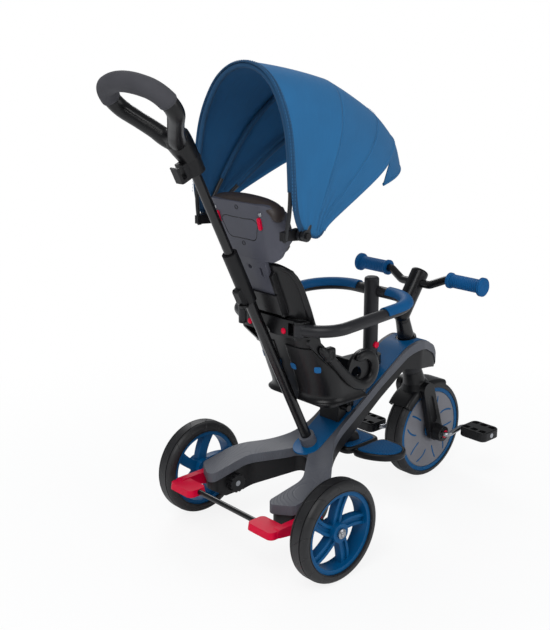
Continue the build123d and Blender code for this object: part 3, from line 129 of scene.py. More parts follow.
# %% Moulded plastic
def moulded(name, colour, rough, grain_mm=1.1, depth_mm=0.05, worn=None, shine=0.3, extra=None):
    """Plastic with a spark-eroded grain, uneven gloss, round corners and paler worn edges.
    extra(tree, place) may return one more height, in millimetres, that is pressed into the surface."""
    material, tree, shader = fresh(name)
    place = put(tree, "TexCoord").outputs["Object"]
    grain = put(tree, "TexNoise", Vector=place, Scale=1000 / grain_mm, Detail=1.0)
    cloud = put(tree, "TexNoise", Vector=place, Scale=1000 / 60, Detail=3.0)
    corner = put(tree, "Bevel", {"samples": 4}, Radius=1.4 * MM)
    flat = put(tree, "NewGeometry").outputs["Normal"]
    turn = put(tree, "VectorMath", {"operation": "DOT_PRODUCT"}, n0=corner.outputs["Normal"], n1=flat)
    edge = put(tree, "MapRange", Value=turn.outputs["Value"], From_Min=0.985, From_Max=0.8, To_Min=0.0,
               To_Max=0.5)
    shade = put(tree, "MapRange", Value=cloud.outputs["Fac"], From_Min=0.3, From_Max=0.7, To_Min=0.9,
                To_Max=1.08)
    body = put(tree, "HueSaturation", Value=shade.outputs["Result"], Color=linear(colour))
    mixed = put(tree, "Mix", {"data_type": "RGBA"}, n0=edge.outputs["Result"], n6=body.outputs["Color"],
                n7=linear(worn or colour))
    gloss = put(tree, "MapRange", Value=cloud.outputs["Fac"], From_Min=0.3, From_Max=0.7,
                To_Min=rough - 0.05, To_Max=rough + 0.06)
    bump = put(tree, "Bump", Height=grain.outputs["Fac"], Normal=corner.outputs["Normal"],
               Distance=depth_mm * MM)
    if extra:
        bump = put(tree, "Bump", Height=extra(tree, place), Normal=bump.outputs["Normal"], Distance=MM)
    tree.links.new(mixed.outputs["Result"], shader.inputs["Base Color"])
    tree.links.new(gloss.outputs["Result"], shader.inputs["Roughness"])
    tree.links.new(bump.outputs["Normal"], shader.inputs["Normal"])
    shader.inputs["IOR"].default_value = 1.49
    shader.inputs["Specular IOR Level"].default_value = shine
    return material


def contour_lines(tree, place):
    """Height of the moulded contour lines on the rear arms: a slow noise cut into 2.6 mm steps, kept behind
    the waist."""
    stretch = put(tree, "Mapping", Vector=place, Scale=(5.0, 9.0, 2.0)).outputs["Vector"]
    hill = put(tree, "TexNoise", Vector=stretch, Scale=1.0, Detail=0.0).outputs["Fac"]
    steps = put(tree, "Math", {"operation": "MULTIPLY"}, n0=hill, n1=56.0).outputs["Value"]
    saw = put(tree, "Math", {"operation": "PINGPONG"}, n0=steps, n1=0.5).outputs["Value"]
    line = put(tree, "MapRange", Value=saw, From_Min=0.0, From_Max=0.18, To_Min=-0.35,
               To_Max=0.0).outputs["Result"]
    along = put(tree, "SeparateXYZ", Vector=place).outputs["X"]
    arms = put(tree, "MapRange", Value=along, From_Min=-0.02, From_Max=-0.1, To_Min=0.0,
               To_Max=1.0).outputs["Result"]
    return put(tree, "Math", {"operation": "MULTIPLY"}, n0=line, n1=arms).outputs["Value"]


def grip_rings(tree, place):
    """Height of rings round the handlebar grips: a sine of the distance along Y, 5 mm from ring to ring."""
    along = put(tree, "SeparateXYZ", Vector=place).outputs["Y"]
    turns = put(tree, "Math", {"operation": "MULTIPLY"}, n0=along, n1=2 * np.pi / (5 * MM)).outputs["Value"]
    wave = put(tree, "Math", {"operation": "SINE"}, n0=turns).outputs["Value"]
    return put(tree, "Math", {"operation": "MULTIPLY"}, n0=wave, n1=0.45).outputs["Value"]


def tread_studs(tree, place):
    """Height of the raised lozenges on the foot treads: the product of two sines, 7 mm apart and turned by
    45 degrees."""
    turned = put(tree, "Mapping", Vector=place, Rotation=(0, 0, np.pi / 4)).outputs["Vector"]
    axes = put(tree, "SeparateXYZ", Vector=turned)
    turns = [put(tree, "Math", {"operation": "MULTIPLY"}, n0=axes.outputs[a], n1=2 * np.pi / (7 * MM))
             for a in "XY"]
    waves = [put(tree, "Math", {"operation": "SINE"}, n0=turn.outputs["Value"]).outputs["Value"]
             for turn in turns]
    return put(tree, "Math", {"operation": "MULTIPLY"}, n0=waves[0], n1=waves[1]).outputs["Value"]


blue_abs = moulded("moulded_abs_blue", "#004F80", 0.4, worn="#1D6A9C", shine=0.18)
red_abs = moulded("moulded_abs_red", "#D00034", 0.38, worn="#DC2A50", shine=0.15)
black_pp = moulded("moulded_polypropylene_black", "#131315", 0.42, worn="#29292D")
gloss_pp = moulded("moulded_polypropylene_satin_black", "#0E0E10", 0.32, grain_mm=1.6, depth_mm=0.02,
                   worn="#2E2E33", shine=0.35)
grey_pp = moulded("moulded_polypropylene_grey", "#54565D", 0.46, worn="#74767E", extra=contour_lines)
ring_pp = moulded("moulded_polypropylene_charcoal", "#242427", 0.4, worn="#3C3C41")
cover_pp = moulded("moulded_polypropylene_light_grey", "#75757B", 0.44, worn="#97979C")
slate_pp = moulded("moulded_polypropylene_slate", "#4B4C56", 0.4, worn="#656672")
grip_tpe = moulded("moulded_soft_elastomer_blue", "#00528A", 0.6, grain_mm=0.8, worn="#1F6AA0", shine=0.18,
                   extra=grip_rings)
tread_tpe = moulded("moulded_tread_elastomer_blue", "#004E80", 0.58, grain_mm=0.9, worn="#1F6698",
                    shine=0.18, extra=tread_studs)
pad_tpe = moulded("moulded_pad_elastomer_blue", "#005084", 0.52, grain_mm=0.9, worn="#1F689C", shine=0.18)
print(len(bpy.data.materials), "materials so far")

# %% [markdown]
# ## Tyres, steel and painted tube
# The tyres are foamed EVA: matt, nearly black, with shallow sipes that curve across the tread. The sipes
# follow the angle round the axle, so the material works that angle out from Object coordinates. Steel shows
# as zinc-plated bolt heads, faintly brushed, and as tubes in black powder coat, which dries with an
# orange-peel skin.


# %% Tyres, steel and painted tube
def foamed_tyre(name, axle_x_mm, axle_z_mm, sipes):
    """EVA with sipes: where the fraction of (angle * sipes / 2 pi + 18 * Y in metres) is near 0, the
    surface is cut 0.7 mm deep."""
    material, tree, shader = fresh(name)
    place = put(tree, "TexCoord").outputs["Object"]
    axes = put(tree, "SeparateXYZ", Vector=place).outputs
    dx = put(tree, "Math", {"operation": "SUBTRACT"}, n0=axes["X"], n1=axle_x_mm * MM).outputs["Value"]
    dz = put(tree, "Math", {"operation": "SUBTRACT"}, n0=axes["Z"], n1=axle_z_mm * MM).outputs["Value"]
    angle = put(tree, "Math", {"operation": "ARCTAN2"}, n0=dz, n1=dx).outputs["Value"]
    out = put(tree, "Math", {"operation": "ABSOLUTE"}, n0=axes["Y"]).outputs["Value"]
    slant = put(tree, "Math", {"operation": "MULTIPLY"}, n0=out, n1=18.0).outputs["Value"]
    turns = put(tree, "Math", {"operation": "MULTIPLY_ADD"}, n0=angle, n1=sipes / (2 * np.pi),
                n2=slant).outputs["Value"]
    saw = put(tree, "Math", {"operation": "PINGPONG"}, n0=turns, n1=0.5).outputs["Value"]
    sipe = put(tree, "MapRange", Value=saw, From_Min=0.015, From_Max=0.035, To_Min=-0.7,
               To_Max=0.0).outputs["Result"]
    pores = put(tree, "TexNoise", Vector=place, Scale=1000 / 1.4, Detail=2.0)
    scuff = put(tree, "TexNoise", Vector=place, Scale=1000 / 25, Detail=4.0)
    shade = put(tree, "MapRange", Value=scuff.outputs["Fac"], From_Min=0.35, From_Max=0.75, To_Min=0.85,
                To_Max=1.35)
    body = put(tree, "HueSaturation", Value=shade.outputs["Result"], Color=linear("#19191B"))
    porous = put(tree, "Bump", Height=pores.outputs["Fac"], Distance=0.08 * MM)
    cut = put(tree, "Bump", Height=sipe, Normal=porous.outputs["Normal"], Distance=MM)
    tree.links.new(body.outputs["Color"], shader.inputs["Base Color"])
    tree.links.new(cut.outputs["Normal"], shader.inputs["Normal"])
    shader.inputs["Roughness"].default_value = 0.5
    return material


def metal(name, colour, metallic, rough, grain_mm, depth_mm, stretch):
    """Steel under a finish: a noise, stretched along X by stretch, is its brushing or its orange peel."""
    material, tree, shader = fresh(name)
    place = put(tree, "TexCoord").outputs["Object"]
    drawn = put(tree, "Mapping", Vector=place, Scale=(1 / stretch, 1, 1)).outputs["Vector"]
    lines = put(tree, "TexNoise", Vector=drawn, Scale=1000 / grain_mm, Detail=2.0)
    shade = put(tree, "MapRange", Value=lines.outputs["Fac"], From_Min=0.3, From_Max=0.7, To_Min=0.9,
                To_Max=1.1)
    body = put(tree, "HueSaturation", Value=shade.outputs["Result"], Color=linear(colour))
    bump = put(tree, "Bump", Height=lines.outputs["Fac"], Distance=depth_mm * MM)
    tree.links.new(body.outputs["Color"], shader.inputs["Base Color"])
    tree.links.new(bump.outputs["Normal"], shader.inputs["Normal"])
    shader.inputs["Metallic"].default_value = metallic
    shader.inputs["Roughness"].default_value = rough
    return material


rear_eva = foamed_tyre("foamed_eva_rear_tyre", REAR_AXLE_X, REAR_AXLE_Z, 15)
front_eva = foamed_tyre("foamed_eva_front_tyre", REAR_AXLE_X + WHEELBASE, FRONT_AXLE_Z, 17)
zinc = metal("zinc_plated_steel", "#A9ABAF", 1.0, 0.32, 0.7, 0.02, 6)
powder = metal("powder_coated_steel_tube", "#0E0E10", 0.0, 0.26, 2.2, 0.03, 1)
bow_steel = metal("lacquered_spring_steel_bow", "#15171B", 0.0, 0.4, 1.5, 0.03, 1)
print("tyres and metals made")

# %% [markdown]
# ## Cloth, leathercloth and foam
# The canopy is plain-woven polyester: two sets of threads at right angles, drawn 1.6 mm apart because the
# real half millimetre would not show. Its pattern follows the sheet's own UV map, in metres. The back and
# head pads wear leathercloth, whose embossed grain is a cell pattern of some 2 mm, and the grip is
# closed-cell foam with open pores on its cut skin.


# %% Cloth, leathercloth and foam
def woven(name, colour, deep, thread_mm, rough=0.85, sheen=0.03):
    """Plain weave from UV in metres: height is the product of two sines with a period of two threads. The
    deep colour follows slub noise, the yarn's own tone, and the hollows of the weave, painted shade.
    """
    material, tree, shader = fresh(name)
    uv = put(tree, "TexCoord").outputs["UV"]
    axes = put(tree, "SeparateXYZ", Vector=uv).outputs
    turns = [put(tree, "Math", {"operation": "MULTIPLY"}, n0=axes[a], n1=np.pi / (thread_mm * MM))
             for a in "XY"]
    threads = [put(tree, "Math", {"operation": "SINE"}, n0=turn.outputs["Value"]).outputs["Value"]
               for turn in turns]
    weave = put(tree, "Math", {"operation": "MULTIPLY"}, n0=threads[0], n1=threads[1]).outputs["Value"]
    drawn = put(tree, "Mapping", Vector=uv, Scale=(8, 160, 1)).outputs["Vector"]
    slub = put(tree, "TexNoise", Vector=drawn, Scale=3.0, Detail=2.0).outputs["Fac"]
    fade = put(tree, "TexNoise", Vector=uv, Scale=9.0, Detail=2.0).outputs["Fac"]
    # colour: slub noise is the yarn's own uneven tone; the weave term makes the hollows between threads
    # darker, painted shade
    part = put(tree, "Math", {"operation": "MULTIPLY_ADD"}, n0=weave, n1=0.22, n2=slub).outputs["Value"]
    blend = put(tree, "MapRange", Value=part, From_Min=0.2, From_Max=0.9, To_Min=0.0,
                To_Max=1.0).outputs["Result"]
    yarn_tone_and_weave_shade = put(tree, "Mix", {"data_type": "RGBA"}, n0=blend, n6=linear(deep),
               n7=linear(colour)).outputs["Result"]
    shade = put(tree, "MapRange", Value=fade, From_Min=0.3, From_Max=0.7, To_Min=0.95,
                To_Max=1.05).outputs["Result"]
    body = put(tree, "HueSaturation", Value=shade, Color=yarn_tone_and_weave_shade).outputs["Color"]
    bump = put(tree, "Bump", Height=weave, Distance=0.12 * MM).outputs["Normal"]
    tree.links.new(body, shader.inputs["Base Color"])
    tree.links.new(bump, shader.inputs["Normal"])
    shader.inputs["Roughness"].default_value = rough
    shader.inputs["Sheen Weight"].default_value = sheen
    shader.inputs["Sheen Roughness"].default_value = 0.5
    return material


def grained(name, colour, worn, rough, cell_mm, depth_mm):
    """Leathercloth or cut foam: height is the distance to the nearest point of a cell pattern."""
    material, tree, shader = fresh(name)
    place = put(tree, "TexCoord").outputs["Object"]
    cells = put(tree, "TexVoronoi", {"feature": "F1"}, Vector=place,
                Scale=1000 / cell_mm).outputs["Distance"]
    fine = put(tree, "TexNoise", Vector=place, Scale=1000 / (0.4 * cell_mm), Detail=2.0).outputs["Fac"]
    cloud = put(tree, "TexNoise", Vector=place, Scale=1000 / 45, Detail=3.0).outputs["Fac"]
    blend = put(tree, "MapRange", Value=cloud, From_Min=0.35, From_Max=0.75, To_Min=0.0,
                To_Max=0.6).outputs["Result"]
    body = put(tree, "Mix", {"data_type": "RGBA"}, n0=blend, n6=linear(colour),
               n7=linear(worn)).outputs["Result"]
    first = put(tree, "Bump", {"invert": True}, Height=cells, Distance=depth_mm * MM).outputs["Normal"]
    bump = put(tree, "Bump", Height=fine, Normal=first, Distance=0.3 * depth_mm * MM).outputs["Normal"]
    tree.links.new(body, shader.inputs["Base Color"])
    tree.links.new(bump, shader.inputs["Normal"])
    shader.inputs["Roughness"].default_value = rough
    return material


canopy_out = woven("woven_polyester_blue", "#16669A", "#125D8E", 1.6)
# the inside of the canopy: the same blue cloth in a darker colour, painted shade
canopy_inside_painted_shade = woven("woven_polyester_blue_inside_painted_shade", "#04578A", "#024A76", 1.6)
binding = woven("woven_binding_tape_navy", "#06466F", "#043859", 1.2)
seat_cloth = grained("knitted_polyester_blue", "#00568E", "#0F66A0", 0.85, 2.2, 0.25)
leathercloth = grained("embossed_leathercloth_black", "#131213", "#1E1B1A", 0.5, 2.0, 0.16)
brown_cloth = grained("embossed_leathercloth_brown_black", "#2B2321", "#3A302C", 0.52, 2.0, 0.16)
grip_foam = grained("closed_cell_foam_charcoal", "#3C3C41", "#48484D", 0.88, 1.3, 0.14)
thread = grained("bonded_polyester_thread", "#1D6698", "#2A72A4", 0.7, 0.6, 0.05)
print(len(bpy.data.materials), "materials in all")

# %% [markdown]
# ## Finishes for the solids
# Each solid keeps its shape and takes the finish of the real piece. Any solid that the list forgets is
# printed.

# %% Finishes for the solids
finishes = {
    blue_abs: "rear_rim_left rear_rim_right front_rim frame_inlay",
    grip_tpe: "handlebar_grips",
    tread_tpe: "footrest_tread_left footrest_tread_right",
    pad_tpe: "safety_pad_left safety_pad_right",
    red_abs: "brake_pedals arm_button_left arm_button_right head_button_left head_button_right post_button",
    grey_pp: "frame_top_shell",
    ring_pp: "safety_bar_left safety_bar_right safety_bar_post head_tube",
    cover_pp: "front_covers",
    slate_pp: "headrest_shell",
    black_pp: "frame_under_tray footrest_bracket footrest_left footrest_right seat_carriage pedal_left"
              " pedal_right bag_hook pushbar_sleeve hub_caps head_bushes canopy_arms seat_lock_lever",
    gloss_pp: "seat_shell fork push_handle handlebar_stem",
    rear_eva: "rear_tyre_left rear_tyre_right",
    front_eva: "front_tyre",
    zinc: "rear_axles crank",
    powder: "pushbar_lower_tube pushbar_upper_tube brake_rod handlebar steering_column",
    bow_steel: "canopy_bow_rear canopy_bow_mid canopy_bow_front",
}
soft_solids = {"seat_cushion", "back_cushion", "headrest_pad", "handle_grip", "canopy_panel_rear",
               "canopy_panel_front", "canopy_band", "canopy_peak"}
dressed = {node: finish for finish, names in finishes.items() for node in names.split()}
for node, finish in dressed.items():
    nodes[node].data.materials.clear()
    nodes[node].data.materials.append(finish)
print("no finish yet:", sorted(set(nodes) - set(dressed) - soft_solids))

# %% [markdown]
# ## Surfaces from arrays
# Every new piece is a grid of points worked out with numpy: a function of two parameters, or a profile
# carried along a path. Quads between neighbours make the skin. One function turns such a grid into an
# object, at the origin, with its place in its mesh, as the solids have it.


# %% Surfaces from arrays
def skin(name, points, finish, wrap=False, caps=False, uv=None, merge=False):
    """Object from a grid of points [i, j]: quads between neighbours; wrap joins the last column to the
    first, caps closes both ends of a tube, merge closes poles and turns all faces outwards."""
    nu, nv = points.shape[:2]
    i, j = np.meshgrid(np.arange(nu - 1), np.arange(nv if wrap else nv - 1), indexing="ij")
    k = (j + 1) % nv
    quads = np.stack([i * nv + j, (i + 1) * nv + j, (i + 1) * nv + k, i * nv + k], -1)
    quads = quads.reshape(-1, 4).tolist()
    if caps:
        quads += [list(range(nv)), list(range(nu * nv - 1, (nu - 1) * nv - 1, -1))]
    mesh = bpy.data.meshes.new(name)
    mesh.from_pydata(points.reshape(-1, 3), [], quads)
    if uv is not None:
        corner = np.zeros(len(mesh.loops), np.int32)
        mesh.loops.foreach_get("vertex_index", corner)
        layer = mesh.uv_layers.new(name="weave")
        layer.data.foreach_set("uv", uv.reshape(-1, 2)[corner].astype(np.float32).ravel())
    if merge or caps:
        shell = bmesh.new()
        shell.from_mesh(mesh)
        bmesh.ops.remove_doubles(shell, verts=shell.verts, dist=1e-6)
        bmesh.ops.recalc_face_normals(shell, faces=shell.faces)
        shell.to_mesh(mesh)
        shell.free()
    mesh.shade_smooth()
    mesh.materials.append(finish)
    made = bpy.data.objects.new(name, mesh)
    scene.collection.objects.link(made)
    return made


def unit(vectors):
    """Vectors divided by their lengths."""
    return vectors / np.linalg.norm(vectors, axis=-1, keepdims=True)


def through(points, count):
    """Natural cubic spline through points, by chord length: the second derivatives m solve
    h0 m0 + 2 (h0 + h1) m1 + h1 m2 = 6 (slope1 - slope0), and each span is a cubic between its two m."""
    p = np.asarray(points, float)
    t = np.r_[0, np.cumsum(np.linalg.norm(np.diff(p, axis=0), axis=1))]
    h, n = np.diff(t), len(p)
    k = np.arange(1, n - 1)
    matrix, right = np.eye(n), np.zeros_like(p)
    matrix[k, k - 1], matrix[k, k], matrix[k, k + 1] = h[:-1], 2 * (h[:-1] + h[1:]), h[1:]
    slope = np.diff(p, axis=0) / h[:, None]
    right[1:-1] = 6 * np.diff(slope, axis=0)
    m = np.linalg.solve(matrix, right)
    s = np.linspace(0, t[-1], count)
    i = np.clip(np.searchsorted(t, s, side="right") - 1, 0, n - 2)
    u, w = (s - t[i])[:, None], h[i][:, None]
    start = slope[i] - w * (2 * m[i] + m[i + 1]) / 6
    return p[i] + u * start + u**2 * m[i] / 2 + u**3 * (m[i + 1] - m[i]) / (6 * w)


def swept(path, normal, profile):
    """Profile (a, b) carried along a path: path + a * side + b * up, with side = tangent x normal and up =
    side x tangent."""
    tangent = unit(np.gradient(path, axis=0))
    side = unit(np.cross(tangent, normal))
    up = np.cross(side, tangent)
    return path[:, None] + profile[..., :1] * side[:, None] + profile[..., 1:] * up[:, None]


def oval(a, b, count=20):
    """Points of an ellipse with half axes a and b."""
    turn = np.linspace(0, 2 * np.pi, count, endpoint=False)
    return np.stack([a * np.cos(turn), b * np.sin(turn)], -1)


print("through four points:", np.round(through([(0, 0), (1, 1), (2, 0), (3, 1)], 5), 2).tolist())

# %% [markdown]
# ## The canopy
# Two spring-steel bows turn on a pin at each side of the headrest and a third stands behind them. Cloth is
# sewn over them, so each cross-section in a bow's plane is the same arch, only scaled. The cloth is pulled
# tight between the bows and draws in a little there. A sheet is therefore the unit arch, scaled and tilted
# from one bow to the next, less a parabola for the draw-in, with small gathers where it narrows to the pin.
# The front bow turns twice as far as the middle one as the canopy folds.

# %% The unit arch and the bows
PIVOT = np.array([REAR_AXLE_X - 20, 0, 664])
ARCH = np.array([(1, 0.04), (1, 0.13), (0.985, 0.27), (0.94, 0.46), (0.86, 0.645), (0.71, 0.795),
                 (0.49, 0.918), (0.25, 0.98)])
REAR, MID, FRONT, HEM = (3, 134, 294, 31), (31, 144, 306, 0), (53.5, 144, 342, 0), (65.5, 144, 366, 0)
CLOTH_OFF = 6.75
SCALE = np.array([144, 310])


def arch(count, start=0):
    """The arch from its right foot over the crown to its left foot, as (half width, height) from 0 to 1."""
    left = ARCH[start:]
    return through(np.r_[left * [-1, 1], [[0, 1]], left[::-1]] * SCALE, count) / SCALE


def lean(line, angle, half, height, back):
    """Points in metres of an arch of that half width and height in a plane through the pin that leans
    forward by angle."""
    rise, tilt = line[..., 1] * height, np.radians(angle)
    x = PIVOT[0] - back + rise * np.sin(tilt)
    return np.stack([x, line[..., 0] * half + 0 * x, PIVOT[2] + rise * np.cos(tilt)], -1) * MM


def facing(angle):
    """Normal of a bow's plane, pointing forward and down."""
    return np.array([np.cos(np.radians(angle)), 0, -np.sin(np.radians(angle))])


def lengths(points, axis):
    """Longest run of a grid of points along one axis."""
    return np.linalg.norm(np.diff(points, axis=axis), axis=-1).sum(axis).max()


def cloth(name, points):
    """A sheet of cloth, 1.6 mm thick, with UV in metres over the size that it was cut to; its inner face is
    a darker blue, painted shade.
    """
    across, along = lengths(points, 0), lengths(points, 1)
    uv = np.stack(np.meshgrid(np.linspace(0, across, points.shape[0]),
                              np.linspace(0, along, points.shape[1]), indexing="ij"), -1)
    made = skin(name, points, canopy_out, uv=uv)
    made.data.materials.append(canopy_inside_painted_shade)
    wall = made.modifiers.new("cloth", "SOLIDIFY")
    wall.thickness, wall.offset, wall.material_offset = 1.6 * MM, 0.0, 1
    return made


# %% The two panels
def panel(first, last, sag, rows=33, columns=121):
    """Grid of a panel: arch columns from one bow to the next, drawn in by sag * 4 v (1 - v), with gathers
    of 1.2 mm at the feet. Below, the cloth runs round a boss at the pin: with fan from 0 at the rear hem to
    1 at the front one, its end moves forward by 24 fan and by 0.75 of the bow's offset, and down by
    15 * 4 fan (1 - fan), fading as exp(-rise / 30 mm)."""
    line = arch(columns)[:, None]
    v = np.linspace(0, 1, rows)
    angle, half, height, back = (a + (b - a) * v for a, b in zip(first, last))
    drawn = 1 - 4 * v * (1 - v) * sag * (0.5 + line[..., 1])
    fan = (angle - REAR[0]) / (HEM[0] - REAR[0])
    low = np.exp(-(line[..., 1] - ARCH[0, 1]) * height / 30)
    gather = 1.2 * np.exp(-line[..., 1] / 0.16) * np.sin(6 * np.pi * v) * 4 * v * (1 - v)
    grid = lean(line, angle, (half + CLOTH_OFF) * drawn, (height + CLOTH_OFF) * drawn, back)
    grid[..., 0] += (24 * fan + 0.75 * back) * low * MM
    grid[..., 1] += np.sign(line[..., 0]) * gather * MM
    grid[..., 2] -= 15 * 4 * fan * (1 - fan) * low * MM
    return grid[:, ::-1]


rear_grid, front_grid = panel(REAR, MID, 0.013), panel(MID, FRONT, 0.01)
band_grid = panel(FRONT, HEM, 0.0, rows=15)
rear_panel = cloth("canopy_cloth_rear", rear_grid)
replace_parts(rear_panel, "canopy_panel_rear")
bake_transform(rear_panel)

front_panel = cloth("canopy_cloth_front", front_grid)
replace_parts(front_panel, "canopy_panel_front")
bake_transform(front_panel)
print("panels of", rear_grid.shape[:2], "and", front_grid.shape[:2], "points")

# %% [markdown]
# ## Band and peak
# In front of the last bow the cloth runs on as a band to a hem, and from the hem a stiffened peak shades
# the face. The peak starts on the upper part of the hem and ends in a free edge that is half an ellipse in
# a plane leaning further forward. Between the two edges it bows up by a few millimetres, as stiffened cloth
# does.


# %% Band and peak
PEAK_LEAN, PEAK_HALF, PEAK_LOW, PEAK_REACH = 76, 99, 262, 121


def peak_edge(columns=81):
    """Free edge of the peak: half an ellipse that rises by PEAK_REACH from PEAK_LOW, in a plane that leans
    by PEAK_LEAN."""
    turn = np.linspace(0, np.pi, columns)
    flat = np.stack([-np.cos(turn) * PEAK_HALF, PEAK_LOW + PEAK_REACH * np.sin(turn)], -1)
    return lean(flat, PEAK_LEAN, 1, 1, 0)


def peak_grid(rows=21, columns=81):
    """Grid of the peak: the hem's upper arch at v = 0, the free edge at v = 1, raised 20 mm v (1 - v)."""
    hem = lean(arch(columns, 5), HEM[0], HEM[1] + CLOTH_OFF, HEM[2] + CLOTH_OFF, 0)
    edge = peak_edge(columns)
    v = np.linspace(0, 1, rows)[:, None]
    grid = hem[:, None] * (1 - v) + edge[:, None] * v
    outward = np.array([0.35, 0, 0.94])
    return (grid + 5 * MM * (4 * v * (1 - v)) * outward)[:, ::-1]


band = cloth("canopy_cloth_band", band_grid)
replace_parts(band, "canopy_band")
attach(band, "canopy_front")
peak = cloth("canopy_cloth_peak", peak_grid())
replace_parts(peak, "canopy_peak")
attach(peak, "canopy_front")
print("the peak reaches", round(float(peak_edge()[:, 0].max() / MM)), "mm forward of the origin")

# %% [markdown]
# ## Hems, bow pockets and stitching
# The raw edge at the back is folded into a flat binding. Inside, each bow lies in a sewn pocket of darker
# tape. Outside, the cloth is felled over the bows with rows of stitches, one at the middle bow, where the
# cloth folds, and two at the others. A stitch is a short six-sided stick; all of one row are copies of it,
# placed in one array operation.


# %% Bindings and pockets
def bow_line(bow, off, count=121, start=0):
    """The arch of one bow, off millimetres outside it."""
    return lean(arch(count, start), bow[0], bow[1] + off, bow[2] + off, bow[3])


def tape_uv(points):
    """UV in metres for a swept tape: along its path and round its section."""
    return np.stack(np.meshgrid(np.linspace(0, lengths(points, 0), points.shape[0]),
                                np.linspace(0, 0.03, points.shape[1]), indexing="ij"), -1)


def tape(name, path, normal, profile, body, finish):
    """A closed tape of that profile along a path, riding on a body."""
    points = swept(path, normal, profile)
    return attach(skin(name, points, finish, wrap=True, uv=tape_uv(points), caps=True), body)


tape("canopy_binding_rear", rear_grid[:, -1], facing(REAR[0]), oval(2.3 * MM, 7 * MM), "headrest", binding)
tape("canopy_binding_hem", band_grid[:, 0], facing(HEM[0]), oval(1.6 * MM, 5 * MM), "canopy_front",
     canopy_out)
for tag, foot in (("right", 0), ("left", -1)):
    low_edge = np.concatenate([rear_grid[foot, ::-1], front_grid[foot, ::-1], band_grid[foot, ::-1]])
    tape(f"canopy_binding_foot_{tag}", low_edge[np.r_[0:33, 34:66, 67:81]], np.array([0, 1.0, 0]),
         oval(2.4 * MM, 1.7 * MM, 16), "canopy_mid", binding)
narrow_front = (FRONT[0], 134, *FRONT[2:])
for name, bow, body in (("rear", REAR, "headrest"), ("middle", MID, "canopy_mid"),
                        ("front", narrow_front, "canopy_front")):
    tape(f"canopy_pocket_{name}", bow_line(bow, 0, start=2), facing(bow[0]), oval(5.2 * MM, 5.2 * MM, 16),
         body, binding)
tape("canopy_binding_peak", peak_edge(), facing(PEAK_LEAN), oval(2 * MM, 3.4 * MM), "canopy_front",
     canopy_out)


# %% Stitches
def stitches(name, path, out, body, length_mm=4.2, gap_mm=1.8):
    """Rows of thread: sticks of that length along a path, each a hexagon lying on the cloth, out being the
    cloth's normal there."""
    run = np.r_[0, np.cumsum(np.linalg.norm(np.diff(path, axis=0), axis=1))]
    spots = np.arange(0.01, run[-1] - 0.01, (length_mm + gap_mm) * MM)
    centre = np.stack([np.interp(spots, run, path[:, a]) for a in range(3)], -1)
    along = unit(np.stack([np.interp(spots, run, np.gradient(path[:, a])) for a in range(3)], -1))
    normal = unit(np.stack([np.interp(spots, run, out[:, a]) for a in range(3)], -1))
    across = np.cross(normal, along)
    ring = oval(0.45 * MM, 0.35 * MM, 6)
    ends = length_mm / 2 * MM * np.array([-1, -0.8, 0.8, 1])
    slim = np.array([0.3, 1, 1, 0.3])
    grid = (centre[:, None, None] + along[:, None, None] * ends[None, :, None, None]
            + across[:, None, None] * (slim[:, None] * ring[:, 0])[None, ..., None]
            + normal[:, None, None] * (slim[:, None] * ring[:, 1])[None, ..., None])
    k, j = np.meshgrid(np.arange(3), np.arange(6), indexing="ij")
    quad = np.stack([k * 6 + j, k * 6 + (j + 1) % 6, (k + 1) * 6 + (j + 1) % 6, (k + 1) * 6 + j], -1)
    quads = (quad.reshape(-1, 4)[None] + 24 * np.arange(len(spots))[:, None, None]).reshape(-1, 4)
    lids = np.array([np.arange(5, -1, -1), np.arange(18, 24)])
    hexes = (lids[None] + 24 * np.arange(len(spots))[:, None, None]).reshape(-1, 6)
    mesh = bpy.data.meshes.new(name)
    mesh.from_pydata(grid.reshape(-1, 3), [], quads.tolist() + hexes.tolist())
    mesh.materials.append(thread)
    made = bpy.data.objects.new(name, mesh)
    scene.collection.objects.link(made)
    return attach(made, body)


STITCH_ROWS = {"a": -3.2, "b": 3.2}
sewn = (("middle", MID, "canopy_mid", "b"), ("front", FRONT, "canopy_front", "ab"),
        ("rear", REAR, "headrest", "ab"))
for name, bow, body, rows in sewn:
    for row in rows:
        seam = bow_line(bow, CLOTH_OFF + (2.5 if name == "rear" else 0.95), 241, 1)
        outward = np.cross(facing(bow[0]), np.gradient(seam, axis=0))
        outward *= np.sign((outward * (seam - PIVOT * MM)).sum(-1, keepdims=True))
        stitches(f"canopy_stitches_{name}_{row}", seam + STITCH_ROWS[row] * MM * facing(bow[0]), outward,
                 body)
print("canopy sewn")

# %% [markdown]
# ## Cushions
# A pad of foam in a sewn cover is fixed to its shell at the back and swells at the front. Cloth simulation
# gives that: the solid is remeshed evenly, drawn in a little, its back is pinned, and air pressure blows up
# the rest until the cover is tight. How far a point may move is capped, so that the pad stays in its place.
# The sewn channels are then pressed in with a bell curve of the distance to each seam.


# %% Swelling a pad
def arrays(mesh):
    """Positions and normals of a mesh's vertices."""
    co, no = np.zeros(len(mesh.vertices) * 3, np.float32), np.zeros(len(mesh.vertices) * 3, np.float32)
    mesh.vertices.foreach_get("co", co)
    mesh.vertex_normals.foreach_get("vector", no)
    return co.reshape(-1, 3).astype(float), no.reshape(-1, 3).astype(float)


def place_vertices(mesh, co):
    """Writes positions into a mesh."""
    mesh.vertices.foreach_set("co", co.astype(np.float32).ravel())
    mesh.update()


def evaluated(made):
    """A new mesh with the object's modifiers applied."""
    graph = bpy.context.evaluated_depsgraph_get()
    return bpy.data.meshes.new_from_object(made.evaluated_get(graph))


